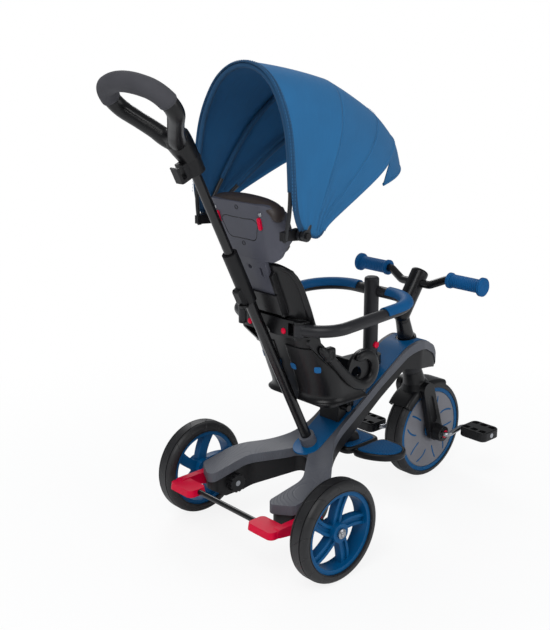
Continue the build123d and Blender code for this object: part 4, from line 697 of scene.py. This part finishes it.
def stuffed(name, node, front, finish, body, voxel_mm=4.0, draw_mm=2.5, cap_mm=5.0, seams=()):
    """A pad in the place of a solid: remeshed, drawn in where it faces front, swollen by pressure with at
    most cap_mm of movement, then pressed in by depth * exp(-(d / width) ** 2) at each seam (point, normal,
    width_mm, depth_mm)."""
    mesh = nodes[node].data.copy()
    shell = bmesh.new()
    shell.from_mesh(mesh)
    bmesh.ops.remove_doubles(shell, verts=shell.verts, dist=1e-5)
    bmesh.ops.recalc_face_normals(shell, faces=shell.faces)
    shell.to_mesh(mesh)
    shell.free()
    pad = bpy.data.objects.new(name, mesh)
    scene.collection.objects.link(pad)
    even = pad.modifiers.new("even", "REMESH")
    even.mode, even.voxel_size = "VOXEL", voxel_mm * MM
    mesh = evaluated(pad)
    pad.modifiers.clear()
    shell = bmesh.new()
    shell.from_mesh(mesh)
    for turn in range(6):
        bmesh.ops.smooth_vert(shell, verts=shell.verts, factor=0.5, use_axis_x=True, use_axis_y=True,
                              use_axis_z=True)
    shell.to_mesh(mesh)
    shell.free()
    pad.data = mesh
    mesh.name = name
    rest, normal = arrays(mesh)
    free = np.clip((normal @ unit(np.array(front, float)) - 0.05) / 0.5, 0, 1)[:, None]
    start = rest - (0.4 + (draw_mm - 0.4) * free) * MM * normal
    place_vertices(mesh, start)
    held = pad.vertex_groups.new(name="held")
    held.add(np.flatnonzero(free[:, 0] < 0.2).tolist(), 1.0, "REPLACE")
    sim = pad.modifiers.new("air", "CLOTH")
    sim.settings.vertex_group_mass = "held"
    sim.settings.use_pressure = True
    sim.settings.uniform_pressure_force = 4.0
    sim.settings.effector_weights.gravity = 0.0
    sim.point_cache.frame_start, sim.point_cache.frame_end = 1, 20
    for step in range(1, 21):
        scene.frame_set(step)
    blown, _ = arrays(evaluated(pad))
    pad.modifiers.clear()
    scene.frame_set(1)
    move = (blown - start) * np.where(free > 0.1, 1, 0)
    far = np.linalg.norm(move, axis=1, keepdims=True)
    place_vertices(mesh, start + move * np.minimum(1, cap_mm * MM / np.maximum(far, 1e-9)))
    co, normal = arrays(mesh)
    for point, across, width_mm, depth_mm in seams:
        off = (co - np.array(point) * MM) @ unit(np.array(across, float))
        co = co - normal * free * depth_mm * MM * np.exp(-(off / (width_mm * MM)) ** 2)[:, None]
    place_vertices(mesh, co)
    mesh.materials.clear()
    mesh.materials.append(finish)
    mesh.shade_smooth()
    smooth = pad.modifiers.new("smooth", "SUBSURF")
    smooth.levels = smooth.render_levels = 1
    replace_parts(pad, node)
    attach(pad, body)
    print(name, len(mesh.polygons), "faces, moved", round(float(np.abs(co - rest).max()) * 1000, 1),
          "mm at most")
    return pad


# %% The three pads
BACK_LEAN = np.radians(21.8)
BACK_FOOT = np.array([REAR_AXLE_X + 76, 0, 352])
BACK_FRONT = np.array([np.cos(BACK_LEAN), 0, np.sin(BACK_LEAN)])
BACK_UP = np.array([-np.sin(BACK_LEAN), 0, np.cos(BACK_LEAN)])
back_seams = [(BACK_FOOT + BACK_UP * rise, BACK_UP, 5.0, 2.2) for rise in (98.5, 153, 207.5)]
stuffed("back_pad", "back_cushion", BACK_FRONT, leathercloth, "seat", seams=back_seams)
seat_seams = [((0, side, 0), (0, 1, 0), 4.5, 2.5) for side in (-24, 24)]
stuffed("seat_pad", "seat_cushion", (0, 0, 1), seat_cloth, "seat", draw_mm=3.0, cap_mm=6.0,
        seams=seat_seams)
stuffed("head_pad", "headrest_pad", (0.97, 0, 0.22), brown_cloth, "headrest", draw_mm=2.0, cap_mm=4.0,
        seams=[((0, 0, 0), (0, 1, 0), 5.0, 1.8)])
print("three pads swelled; the back leans by", round(float(np.degrees(BACK_LEAN)), 1), "degrees")

# %% [markdown]
# ## The foam grip
# A foam sleeve is pushed over the top of the handle loop. It follows the bar through three bends and thins
# to a rolled lip at each end, where the glossy handle comes out of it. The path is built like the bar
# itself: straight runs whose corners are replaced with arcs, and the sleeve is a circle carried along it
# with a radius that falls to the bar's at both ends.


# %% The foam grip
def bent(points, radii, per_corner=24):
    """Polyline in a plane with its inner corners rounded: each arc touches both runs at radius / tan(half
    the corner's angle)."""
    p = np.asarray(points, float)
    to_last, to_next = unit(p[:-2] - p[1:-1]), unit(p[2:] - p[1:-1])
    half = np.arccos(np.clip((to_last * to_next).sum(-1), -1, 1)) / 2
    radii = np.asarray(radii, float)
    centre = p[1:-1] + unit(to_last + to_next) * (radii / np.sin(half))[:, None]
    first = p[1:-1] + to_last * (radii / np.tan(half))[:, None] - centre
    last = p[1:-1] + to_next * (radii / np.tan(half))[:, None] - centre
    whole = np.pi - 2 * half
    t = np.linspace(0, 1, per_corner)[None, :, None]
    w = whole[:, None, None]
    swung = np.sin((1 - t) * w) * first[:, None] + np.sin(t * w) * last[:, None]
    arcs = centre[:, None] + swung / np.sin(w)
    return np.r_[p[:1], arcs.reshape(-1, p.shape[1]), p[-1:]]


TILT = np.radians(44)
LOOP_FOOT = np.array([REAR_AXLE_X - 164.8, 0, 797.7])
LOOP_UP = np.array([-np.sin(TILT), 0, np.cos(TILT)])
LOOP_BACK = np.array([-np.cos(TILT), 0, -np.sin(TILT)])
LOOP_CORNER, LOOP_PEAK, LOOP_BASE = np.array([(116, 160), (0, 202), (0, 46)])
CORNER_ROUND, PEAK_ROUND = 40, 150
BAR_RADIUS, FOAM, LIP, ROLL, BARE = 12.7, 4.7, 8, 6, 38
LOWER_SHARE = 0.58
grip_end = LOOP_BASE + LOWER_SHARE * (LOOP_CORNER - LOOP_BASE)


def on_loop(flat):
    """Points of the handle's plane, (sideways, up) in millimetres, in metres in the row frame."""
    flat = np.asarray(flat, float)
    return (LOOP_FOOT + flat[..., :1] * np.array([0, 1, 0]) + flat[..., 1:] * LOOP_UP) * MM


mirrored = np.array([-1, 1])
route = bent([grip_end, LOOP_CORNER, LOOP_PEAK, LOOP_CORNER * mirrored, grip_end * mirrored],
             (CORNER_ROUND, PEAK_ROUND, CORNER_ROUND))
run = np.r_[0, np.cumsum(np.linalg.norm(np.diff(route, axis=0), axis=1))]
first, last = BARE, run[-1] - BARE
even_run = np.unique(np.r_[np.linspace(first, first + LIP, 13), np.linspace(first + LIP, last - LIP, 150),
                           np.linspace(last - LIP, last, 13)])
route = np.stack([np.interp(even_run, run, route[:, a]) for a in (0, 1)], -1)
to_end = np.minimum(even_run - first, last - even_run)
rolled = np.sqrt(1 - np.clip(1 - to_end / ROLL, 0, 1) ** 2)
radius = BAR_RADIUS + FOAM * rolled + 0.25 * np.sin(even_run / 21)
sleeve = swept(on_loop(route), LOOP_BACK, radius[:, None, None] * MM * oval(1, 1, 40))
grip = skin("foam_grip", sleeve, grip_foam, wrap=True, caps=True)
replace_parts(grip, "handle_grip")
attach(grip, frame["nodes"]["handle_grip"]["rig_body"])
print("grip runs", round(last - first), "mm")

# %% [markdown]
# ## Scoops and arm buttons
# The arms of the seat end in thick scoops: the side band runs down, turns under the leg and curls up over
# it. A curve object with a bevel could make that, but its section is the same all along. So a bar is worked
# out here: an oval section that swells and thins along a spline, and whose ends close like half an ellipse.
# The red buttons of the arms are short bars of that kind, which gives them round ends.


# %% Scoops and arm buttons
def bar(name, points, across_mm, deep_mm, normal, finish, body, count=140):
    """Oval bar through points in metres: half axes across_mm and deep_mm are read off along it, and both
    ends close over 8 of its rows by sqrt(1 - (1 - row / 8) ** 2). deep is measured along normal."""
    path = through(points, count)
    row = np.arange(count)
    end = np.sqrt(1 - np.clip(1 - np.minimum(row, row[::-1]) / 8, 0, 0.98) ** 2)
    place = row / (count - 1)
    a, b = (end * np.interp(place, np.linspace(0, 1, len(half)), half) * MM
            for half in (across_mm, deep_mm))
    profile = oval(1, 1, 36)[None] * np.stack([a, b], -1)[:, None]
    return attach(skin(name, swept(path, np.array(normal, float), profile), finish, wrap=True, caps=True),
                   body)


# (x, z) along the rim of an arm, in millimetres from the rear axle and the floor
SCOOP = [(62, 428), (98, 393), (140, 350), (165, 331), (191, 323), (213, 333), (221, 355), (212, 377),
         (190, 386), (166, 381)]
SCOOP_Y = 100.0
BUTTON_ENDS, BUTTON_Y, BUTTON_Z, BUTTON_RADIUS = (11, 16, 20.6), 49.0, 460.42, 6
for hand, tag in HANDS:
    rim = np.array([(x + REAR_AXLE_X, hand * SCOOP_Y, z) for x, z in SCOOP]) * MM
    bar(f"seat_scoop_{tag}", rim, (9, 10, 11.5, 11.5, 10), (7, 7, 8, 8, 7), (0, 1, 0), gloss_pp, "seat")

for hand, tag in HANDS:
    stem = np.array([(x + REAR_AXLE_X, hand * BUTTON_Y, BUTTON_Z) for x in BUTTON_ENDS]) * MM
    thick = (BUTTON_RADIUS, BUTTON_RADIUS)
    body = nodes[f"arm_button_{tag}"]["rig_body"]
    cap = bar(f"arm_button_cap_{tag}", stem, thick, thick, (0, 0, 1), red_abs, body, count=40)
    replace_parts(cap, f"arm_button_{tag}")
print("scoops and buttons made")

# %% [markdown]
# ## The rim of the back and the bowl under it
# The back of the seat has a rolled edge, and below the arms its wall draws in and flares out again to a
# lip, like the foot of a bowl. The edge is a bar. The bowl is a stack of levels, each a side, a quarter
# circle and a back edge, with a spline from level to level. Sculpting could make it too, but levels keep it
# clear of the wall behind. It is made as two halves, because the push bar passes between them.

# %% The rim of the back and the bowl under it
BACK_AXES = np.array([BACK_FRONT, (0, 1, 0), BACK_UP])
edge = np.array([(23, 90, 62), (23, 90, 130), (23, 90, 196), (21, 88, 222), (14, 79, 246), (7, 62, 258),
                 (6.5, 35, 259)])
rim = np.r_[edge * [1, -1, 1], [(6.5, 0, 259)], edge[::-1]]
thick = (6, 6.5, 5, 4.5, 5, 6.5, 6)
bar("seat_back_rim", (BACK_FOOT + rim @ BACK_AXES) * MM, thick, thick, (0.3, 0, 1), gloss_pp, "seat")
BOWL = np.array([(420, 48.3, 96.6, 66), (400, 56.3, 96.6, 86), (380, 64.3, 96.6, 107),
                 (360, 72, 96.5, 127), (345, 77.5, 96, 143), (330, 82.5, 94.5, 160), (316, 86.5, 93, 180),
                 (306, 87.5, 93.5, 195), (300, 85.5, 96, 200), (296, 82, 100, 200)])
BOWL_WALL = 2.4


def bowl(hand, gap_mm=17, round_mm=48):
    """Half of the bowl. BOWL's levels are (height, back edge, half width, front end) in millimetres from
    the rear axle, and a spline runs through them. In a level come the side at half, a quarter circle of
    radius round_mm and the back edge."""
    z, back, half, front = through(BOWL, 60).T[..., None]
    t = np.linspace(0, 1, 24)
    turn = t[1:] * np.pi / 2
    x = np.concatenate([front + (back + round_mm - front) * t, back + round_mm * (1 - np.sin(turn)),
                        back + 0 * z + 0 * t[1:]], 1)
    y = np.concatenate([half + 0 * t, half - round_mm * (1 - np.cos(turn)),
                        half - round_mm - (half - round_mm - gap_mm) * t[1:]], 1)
    return np.stack([x + REAR_AXLE_X, hand * y, z + 0 * x], -1) * MM


for hand, tag in HANDS:
    made = skin(f"seat_bowl_{tag}", bowl(hand)[:, ::hand], gloss_pp)
    wall = made.modifiers.new("wall", "SOLIDIFY")
    wall.thickness, wall.offset = BOWL_WALL * MM, 0.0
    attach(made, "seat")
print("bowl from", BOWL[0, 0], "down to", BOWL[-1, 0], "mm")

# %% [markdown]
# ## The back of the headrest
# The pad of the headrest rises above its shell as a soft roll, which is one more bar, in the pad's cloth. A
# fine groove on the back of the shell frames a panel. It could be cut with a boolean; instead a thin black
# bead on the surface stands for the groove's shadow, painted shade, and leaves the solid alone.


# %% The back of the headrest
HEAD_LEAN = np.radians(14)
HEAD_FOOT = np.array([REAR_AXLE_X - 35.2, 0, 604.8])
HEAD_UP = np.array([-np.sin(HEAD_LEAN), 0, np.cos(HEAD_LEAN)])
HEAD_FRONT = np.array([np.cos(HEAD_LEAN), 0, np.sin(HEAD_LEAN)])


def on_head(flat, front_mm):
    """Points (sideways, up) in the plane of the shell's back, moved front_mm forward, in metres."""
    return (HEAD_FOOT + flat[:, :1] * np.array([0, 1, 0]) + flat[:, 1:] * HEAD_UP
            + front_mm * HEAD_FRONT) * MM


# half of each line as (sideways, up); the other half mirrors it
half_roll = [(94, 77), (88, 94), (68, 105), (35, 110)]
roll = np.array([(-y, h) for y, h in half_roll] + [(0, 111.5)] + half_roll[::-1], float)
bar("headrest_roll", on_head(roll, 20), (8.5, 8.5), (16, 16), HEAD_FRONT, brown_cloth, "headrest")
half_groove_shade = [(26, 81), (44, 80), (50, 75), (46, 60), (40, 45), (34, 40), (18, 39)]
line = np.array([(0, 81)] + [(-y, h) for y, h in half_groove_shade] + [(0, 39)] + half_groove_shade[::-1] + [(0, 81)],
                float)
# painted shade: a black bead along the panel's outline in place of the shadow in its groove
bar("headrest_panel_groove_shade", on_head(line, 0), (0.8, 0.8), (0.5, 0.5), HEAD_FRONT, black_pp, "headrest",
    count=220)
print("headrest dressed")

# %% [markdown]
# ## The neck of the handle
# The two arms of the push handle run down from the loop and together into a broad neck that sleeves the
# tube. They are one moulding, without an edge between them. Joining them with booleans and a bevel often
# fails on such shallow angles, so each is a bar that thickens towards the neck and ends deep inside it.


# %% The neck of the handle
BAR_TILT = np.radians(25.8)
BAR_UP = np.array([-np.sin(BAR_TILT), 0, np.cos(BAR_TILT)])
push_body = nodes["push_handle"]["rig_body"]


def neck(rise, share):
    """A point rise millimetres above the foot of the loop, share of the way from the push bar's axis to the
    loop's plane."""
    return (LOOP_FOOT + rise * (BAR_UP * (1 - share) + LOOP_UP * share)) * MM


bar("handle_neck", [neck(-24, 0), neck(-6, 0), neck(12, 0.15), neck(30, 0.4), neck(48, 0.5), neck(66, 0.7)],
    (18.3, 18.6, 20, 22, 23, 17), (18.3, 18.6, 20.5, 23, 25, 18), LOOP_BACK, gloss_pp, push_body)
corner = bent([(14, 60), LOOP_CORNER, LOOP_PEAK], (CORNER_ROUND,))[1:16:3]
for hand, tag in HANDS:
    arm = np.r_[corner[::-1], [(66, 111), (46, 91), (29, 73), (15, 56)]] * [hand, 1]
    thick = (15.4, 15.4, 14.6, 15, 17, 18)
    bar(f"handle_arm_{tag}", np.r_[on_loop(arm), [neck(34, 0.6), neck(16, 0.3)]], thick, thick, LOOP_BACK,
        gloss_pp, push_body)
print("handle's neck and arms made")

# %% [markdown]
# ## Footrests
# The feet of a small child rest on two folding wings. Each is a leaf with a thick round rim and a blue
# tread let into it. An extruded curve with a bevel would give the rim but not the recess. So the outline, a
# closed spline, is scaled about its middle row by row: out along the underside, up over the rim and back in
# along the top. The bracket between the wings is a rounded deck of the same kind on one root under the
# frame.


# %% Footrests
def leaf(name, outline, rows, finish, body):
    """Rows of (scale, height in millimetres) times an outline about its middle, closed at both ends."""
    middle = outline.mean(0)
    rows = np.array(rows, float)
    flat = middle + rows[:, :1, None] * (outline - middle)
    grid = np.concatenate([flat, rows[:, None, 1:] + 0 * flat[..., :1]], -1)
    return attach(skin(name, (grid + [REAR_AXLE_X, 0, 0]) * MM, finish, wrap=True, merge=True), body)


# outline of a wing as (x, y), then rows of (scale, height), all in millimetres
WING = np.array([(216, 51), (213, 66), (221, 94), (240, 122), (264, 136), (290, 133), (308, 114), (311, 84),
                 (306, 56), (290, 50), (260, 49.5), (232, 50)], float)
UNDER = [(0, 142), (0.5, 142), (0.9, 142.5), (0.97, 144), (1, 148), (1, 152), (0.985, 156), (0.95, 158),
         (0.91, 158.3), (0.88, 157.5)]
RECESS, DECK_TOP = [(0.86, 155.5), (0.4, 155.5), (0, 155.5)], [(0.8, 157), (0.4, 157), (0, 157)]
TREAD = [(0, 154), (0.84, 154), (0.84, 158.6), (0.82, 159.3), (0.78, 159.6), (0.4, 159.6), (0, 159.6)]
DECK_TREAD = [(0, 155), (0.84, 155), (0.84, 158.4), (0.82, 159), (0.4, 159), (0, 159)]
DECK_X, DECK_LONG, DECK_WIDE, DECK_POWER = 258, 53, 46, 0.35
LEAF_POINTS = 96
for hand, tag in HANDS:
    thrice = np.r_[WING, WING, WING, WING[:1]] * [1, hand]
    loop = through(thrice, 3 * LEAF_POINTS + 1)[LEAF_POINTS:2 * LEAF_POINTS][::hand]
    body = nodes[f"footrest_{tag}"]["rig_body"]
    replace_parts(leaf(f"footrest_wing_{tag}", loop, UNDER + RECESS, black_pp, body), f"footrest_{tag}")
    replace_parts(leaf(f"footrest_blue_{tag}", loop, TREAD, tread_tpe, body), f"footrest_tread_{tag}")
turn = np.linspace(0, -2 * np.pi, LEAF_POINTS, endpoint=False)
cosine, sine = np.cos(turn), np.sin(turn)
squared = np.stack([DECK_X + DECK_LONG * np.sign(cosine) * np.abs(cosine) ** DECK_POWER,
                    DECK_WIDE * np.sign(sine) * np.abs(sine) ** DECK_POWER], -1)
frame_body = nodes["footrest_bracket"]["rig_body"]
deck = leaf("footrest_deck", squared, UNDER + DECK_TOP, black_pp, frame_body)
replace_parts(deck, "footrest_bracket")
leaf("footrest_blue_deck", squared, DECK_TREAD, tread_tpe, frame_body)
root = np.array([(262, 0, 150), (250, 0, 160), (238, 0, 178), (232, 0, 204)], float) + [REAR_AXLE_X, 0, 0]
thick = (24, 22, 20, 20)
bar("footrest_root", root * MM, thick, thick, (0, 1, 0), black_pp, frame_body)
print("footrests made")

# %% [markdown]
# ## Wheel covers
# The grey covers of the front wheel are thin dished discs with blue lines let into them. Five pairs of
# lines run out from the hub: one nearly straight, its neighbour bent the other way. A picture of the
# pattern would be quicker, but the lines are raised and show from the side too. Each is a bar along the
# curve (r, a + bend * t ** 1.4) in polar coordinates.

# %% Wheel covers
FRONT_HUB = np.array([REAR_AXLE_X + WHEELBASE, 0, FRONT_AXLE_Z])
# (radius, distance from the middle plane) round the section of a cover
DISH_ROWS = np.array([(18, 18), (18, 22), (36, 22), (38.5, 21.6), (88, 21.5), (91, 21.1), (92, 20.2),
                      (92, 18), (18, 18)])
COVER_FACE, PAIRS = 21.5, 5
# kind, inner and outer radius, angle, bend
LINES = (("straight", 44, 82, 66, 5), ("bent", 48, 84, 39, -18))
wheel_body = nodes["front_covers"]["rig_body"]


def around(radius, angle, out):
    """Points in metres at that radius and angle about the front axle, out millimetres to the left."""
    x, y, z = np.broadcast_arrays(radius * np.cos(angle), out, radius * np.sin(angle))
    return (FRONT_HUB + np.stack([x, y, z], -1)) * MM


for hand, tag in HANDS:
    spin = np.linspace(0, 2 * np.pi, 128, endpoint=False)
    dished = around(DISH_ROWS[:, :1], spin, hand * DISH_ROWS[:, 1:])
    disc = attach(skin(f"front_cover_{tag}", dished, cover_pp, wrap=True, merge=True), wheel_body)
    if hand < 0:
        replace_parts(disc, "front_covers")
    t = np.linspace(0, 1, 6)
    for pair in range(PAIRS):
        for kind, low, high, first, bend in LINES:
            angle = np.radians(360 / PAIRS * pair + first + bend * t**1.4)
            curve = around(low + (high - low) * t, angle, hand * COVER_FACE)
            bar(f"cover_line_{kind}_{pair}_{tag}", curve, (2.1, 2.1), (0.6, 0.6), (0, 1, 0), blue_abs,
                wheel_body, count=60)
print("covers made")

# %% [markdown]
# ## Small fittings
# Screws, buttons and clips are too small for the solids but the eye looks for them. Each is set on the
# nearest point of the solid that carries it, along that surface's normal, so it sits right from every side.
# A fitting is an outline, round or squared off, that is scaled and raised row by row up to a closed top.

# %% Small fittings
trees = {}


def seat_on(node, near_mm):
    """Nearest point of a solid to a point given in millimetres from the rear axle, and the surface's normal
    there."""
    if node not in trees:
        mesh = nodes[node].data
        co, _ = arrays(mesh)
        trees[node] = BVHTree.FromPolygons(co.tolist(), [list(face.vertices) for face in mesh.polygons])
    target = (np.array(near_mm, float) + [REAR_AXLE_X, 0, 0]) * MM
    at, normal, _, _ = trees[node].find_nearest(target.tolist())
    return np.array(at), np.array(normal)


def fitting(name, node, near_mm, half_mm, rows, finish, power=2.0, cross_mm=0.0):
    """Rows of (scale, height in millimetres) times a superellipse |x/a|**p + |y/b|**p = 1, along the
    surface's normal. cross_mm cuts a cross recess: where the smaller of |x|, |y| is under a sixth of the
    size, near the middle."""
    at, normal = seat_on(node, near_mm)
    side = unit(np.cross(normal, (0, 0, 1)))
    up = np.cross(side, normal)
    turn = np.linspace(0, 2 * np.pi, 48, endpoint=False)
    c, s = np.cos(turn), np.sin(turn)
    outline = np.stack([half_mm[0] * np.sign(c) * np.abs(c) ** (2 / power),
                        half_mm[1] * np.sign(s) * np.abs(s) ** (2 / power)], -1)
    rows = np.array(rows, float)
    flat = rows[:, :1, None] * outline[None]
    slot = (np.abs(flat).min(-1) < 0.17 * half_mm[0]) & (np.abs(flat).max(-1) < 0.62 * half_mm[0])
    height = rows[:, 1:] - cross_mm * slot
    grid = at + (flat[..., :1] * side + flat[..., 1:] * up + height[..., None] * normal) * MM
    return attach(skin(name, grid, finish, wrap=True, merge=True), nodes[node]["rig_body"])


# rows of (scale, height): a screw's head, a sunk screw, a belt slot, a belt clip and a push button
DOME = [(1, -1), (1, 0.5), (0.97, 1.0), (0.88, 1.5), (0.72, 1.9), (0.6, 2.05), (0.5, 2.1), (0.4, 2.15),
        (0.3, 2.2), (0.2, 2.2), (0.1, 2.2), (0, 2.2)]
DISH = [(1, -1), (1, 0.6), (0.9, 0.9), (0.8, 0.6), (0.74, -0.6), (0.5, -0.7), (0.25, -0.7), (0, -0.7)]
SLOT = [(1, 1), (1, 3.0), (0.93, 3.3), (0.85, 3.2), (0.5, 3.1), (0.25, 3.1), (0, 3.1)]
CLIP = [(1, -2), (1, 6), (0.95, 9), (0.8, 10.5), (0.45, 11), (0.4, 9.5), (0, 9.5)]
BUTTON = [(1, -1), (1, 2.2), (0.96, 3.0), (0.86, 3.6), (0.6, 4.0), (0.3, 4.1), (0, 4.1)]
for hand, tag in HANDS:
    fitting(f"headrest_screw_{tag}", "headrest_shell", (-60, 64 * hand, 696), (4, 4), DOME, zinc,
            cross_mm=0.9)
    fitting(f"handle_screw_low_{tag}", "push_handle", (-222, 40 * hand, 842), (3.4, 3.4), DISH, black_pp)
    fitting(f"handle_screw_high_{tag}", "push_handle", (-262, 92 * hand, 888), (3.4, 3.4), DISH, black_pp)
    fitting(f"wheel_bolt_{tag}", "rear_axles", (0, 240 * hand, REAR_AXLE_Z), (6, 6), DOME, zinc,
            cross_mm=1.0)
    fitting(f"hub_screw_{tag}", "hub_caps", (WHEELBASE, 80 * hand, FRONT_AXLE_Z), (9, 9), DOME,
            red_abs if hand < 0 else zinc, cross_mm=1.2)
    fitting(f"belt_clip_{tag}", "seat_shell", (90, 104 * hand, 408), (11, 15), CLIP, black_pp, power=5.0)
    fitting(f"seat_slot_{tag}", "seat_shell", (66, 22 * hand, 371), (7, 7), SLOT, seat_cloth, power=4.0)
    fitting(f"seat_slot_side_{tag}", "seat_shell", (72, 84 * hand, 372), (7, 7), SLOT, seat_cloth,
            power=4.0)
fitting("headrest_screw_top", "headrest_shell", (-66, 0, 702), (4.5, 4.5), DISH, black_pp)
fitting("headrest_screw_foot", "headrest_shell", (-45, 0, 633), (4.5, 4.5), DISH, black_pp)
fitting("sleeve_button", "pushbar_sleeve", (-50, -6, 500), (8, 10), BUTTON, gloss_pp, power=3.0)
fitting("handle_latch_knob", "push_handle", (-150, -6, 806), (6, 6), BUTTON, black_pp)
print("fittings set on", len(trees), "solids")

# %% [markdown]
# ## Stage, light and camera
# A plain white floor and white surroundings, as in a product photograph. The world lights evenly; a big
# soft lamp from the upper left is the key, a weaker one fills from the right, and one behind draws the
# edges. To the camera the surroundings are plain white, to reflections they are dim, as in a dark studio,
# and the floor keeps a soft part of the shadow.


# %% Floor
paper, tree, shader = fresh("white_paper_floor")
shader.inputs["Base Color"].default_value = linear("#F6F6F6")
shader.inputs["Roughness"].default_value = 0.9
rays = put(tree, "LightPath").outputs
place = put(tree, "TexCoord").outputs["Object"]
far = put(tree, "VectorMath", {"operation": "LENGTH"}, n0=place).outputs["Value"]
plain = put(tree, "MapRange", Value=far, From_Min=0.5, From_Max=1.3, To_Min=0.86,
            To_Max=1.0).outputs["Result"]
share = put(tree, "Math", {"operation": "MULTIPLY"}, n0=rays["Is Camera Ray"], n1=plain).outputs["Value"]
glow = put(tree, "Emission", Color=(1, 1, 1, 1), Strength=1.0).outputs["Emission"]
both = put(tree, "MixShader", n0=share, n1=shader.outputs["BSDF"], n2=glow).outputs["Shader"]
tree.links.new(both, tree.nodes["Material Output"].inputs["Surface"])
corners = np.array([[(30, -30, 0), (30, 30, 0)], [(-30, -30, 0), (-30, 30, 0)]], float)
floor = skin("floor", corners, paper)
print("floor", np.ptp(corners[..., 0]), "m square")

# %% World
world = bpy.data.worlds.new("studio")
world.use_nodes = True
scene.world = world
tree = world.node_tree
rays = put(tree, "LightPath").outputs
seen = put(tree, "Math", {"operation": "MAXIMUM"}, n0=rays["Is Camera Ray"],
           n1=rays["Is Transmission Ray"]).outputs["Value"]
dim = put(tree, "MapRange", Value=rays["Is Glossy Ray"], From_Min=0.0, From_Max=1.0, To_Min=0.5,
          To_Max=0.25).outputs["Result"]
even = put(tree, "Background", Color=(0.93, 0.96, 1.0, 1.0), Strength=dim).outputs["Background"]
white = put(tree, "Background", Color=(1, 1, 1, 1), Strength=1.0).outputs["Background"]
sky = put(tree, "MixShader", n0=seen, n1=even, n2=white).outputs["Shader"]
tree.links.new(sky, tree.nodes["World Output"].inputs["Surface"])
print("world", world.name)

# %% Lamps
LAMP_AIM = np.array([0, 0, 0.45])


def frame_of(right, up, back, at):
    """Matrix with those three axes as columns and that place."""
    return Matrix(np.r_[np.c_[right, up, back, at], [[0, 0, 0, 1]]].tolist())


def lamp(name, at, size, watts):
    """A square area lamp at a point, aimed at the middle of the tricycle."""
    data = bpy.data.lights.new(name, "AREA")
    data.size, data.energy = size, watts
    made = bpy.data.objects.new(name, data)
    scene.collection.objects.link(made)
    back = unit(np.array(at) - LAMP_AIM)
    right = unit(np.cross([0, 0, 1], back))
    made.matrix_world = frame_of(right, np.cross(back, right), back, at)


lamp("key", (-2.2, -1.2, 3.0), 2.0, 62)
lamp("fill", (1.2, -3.2, 1.6), 2.2, 26)
lamp("edge", (1.6, 2.6, 2.4), 1.6, 34)

# %% Camera
# fitted to the photograph: focal length and image height in pixels, place in millimetres
SENSOR, FOCAL_PX, IMAGE_HEIGHT = 36.0, 996, 630
CAMERA_AT = np.array([REAR_AXLE_X - 1239, -1401, 998])
azimuth, elevation, roll = np.radians((-42.312, 15.341, -0.115))
back = np.array([np.sin(azimuth) * np.cos(elevation), -np.cos(azimuth) * np.cos(elevation),
                 np.sin(elevation)])
level = np.array([np.cos(azimuth), np.sin(azimuth), 0])
rise = np.cross(back, level)
lens = bpy.data.cameras.new("photo_camera")
lens.sensor_width, lens.lens = SENSOR, SENSOR * FOCAL_PX / IMAGE_HEIGHT
camera = bpy.data.objects.new("photo_camera", lens)
scene.collection.objects.link(camera)
camera.matrix_world = frame_of(np.cos(roll) * level + np.sin(roll) * rise,
                               np.cos(roll) * rise - np.sin(roll) * level, back, CAMERA_AT * MM)
scene.camera = camera
print("camera at", np.round(camera.matrix_world.translation, 3).tolist())
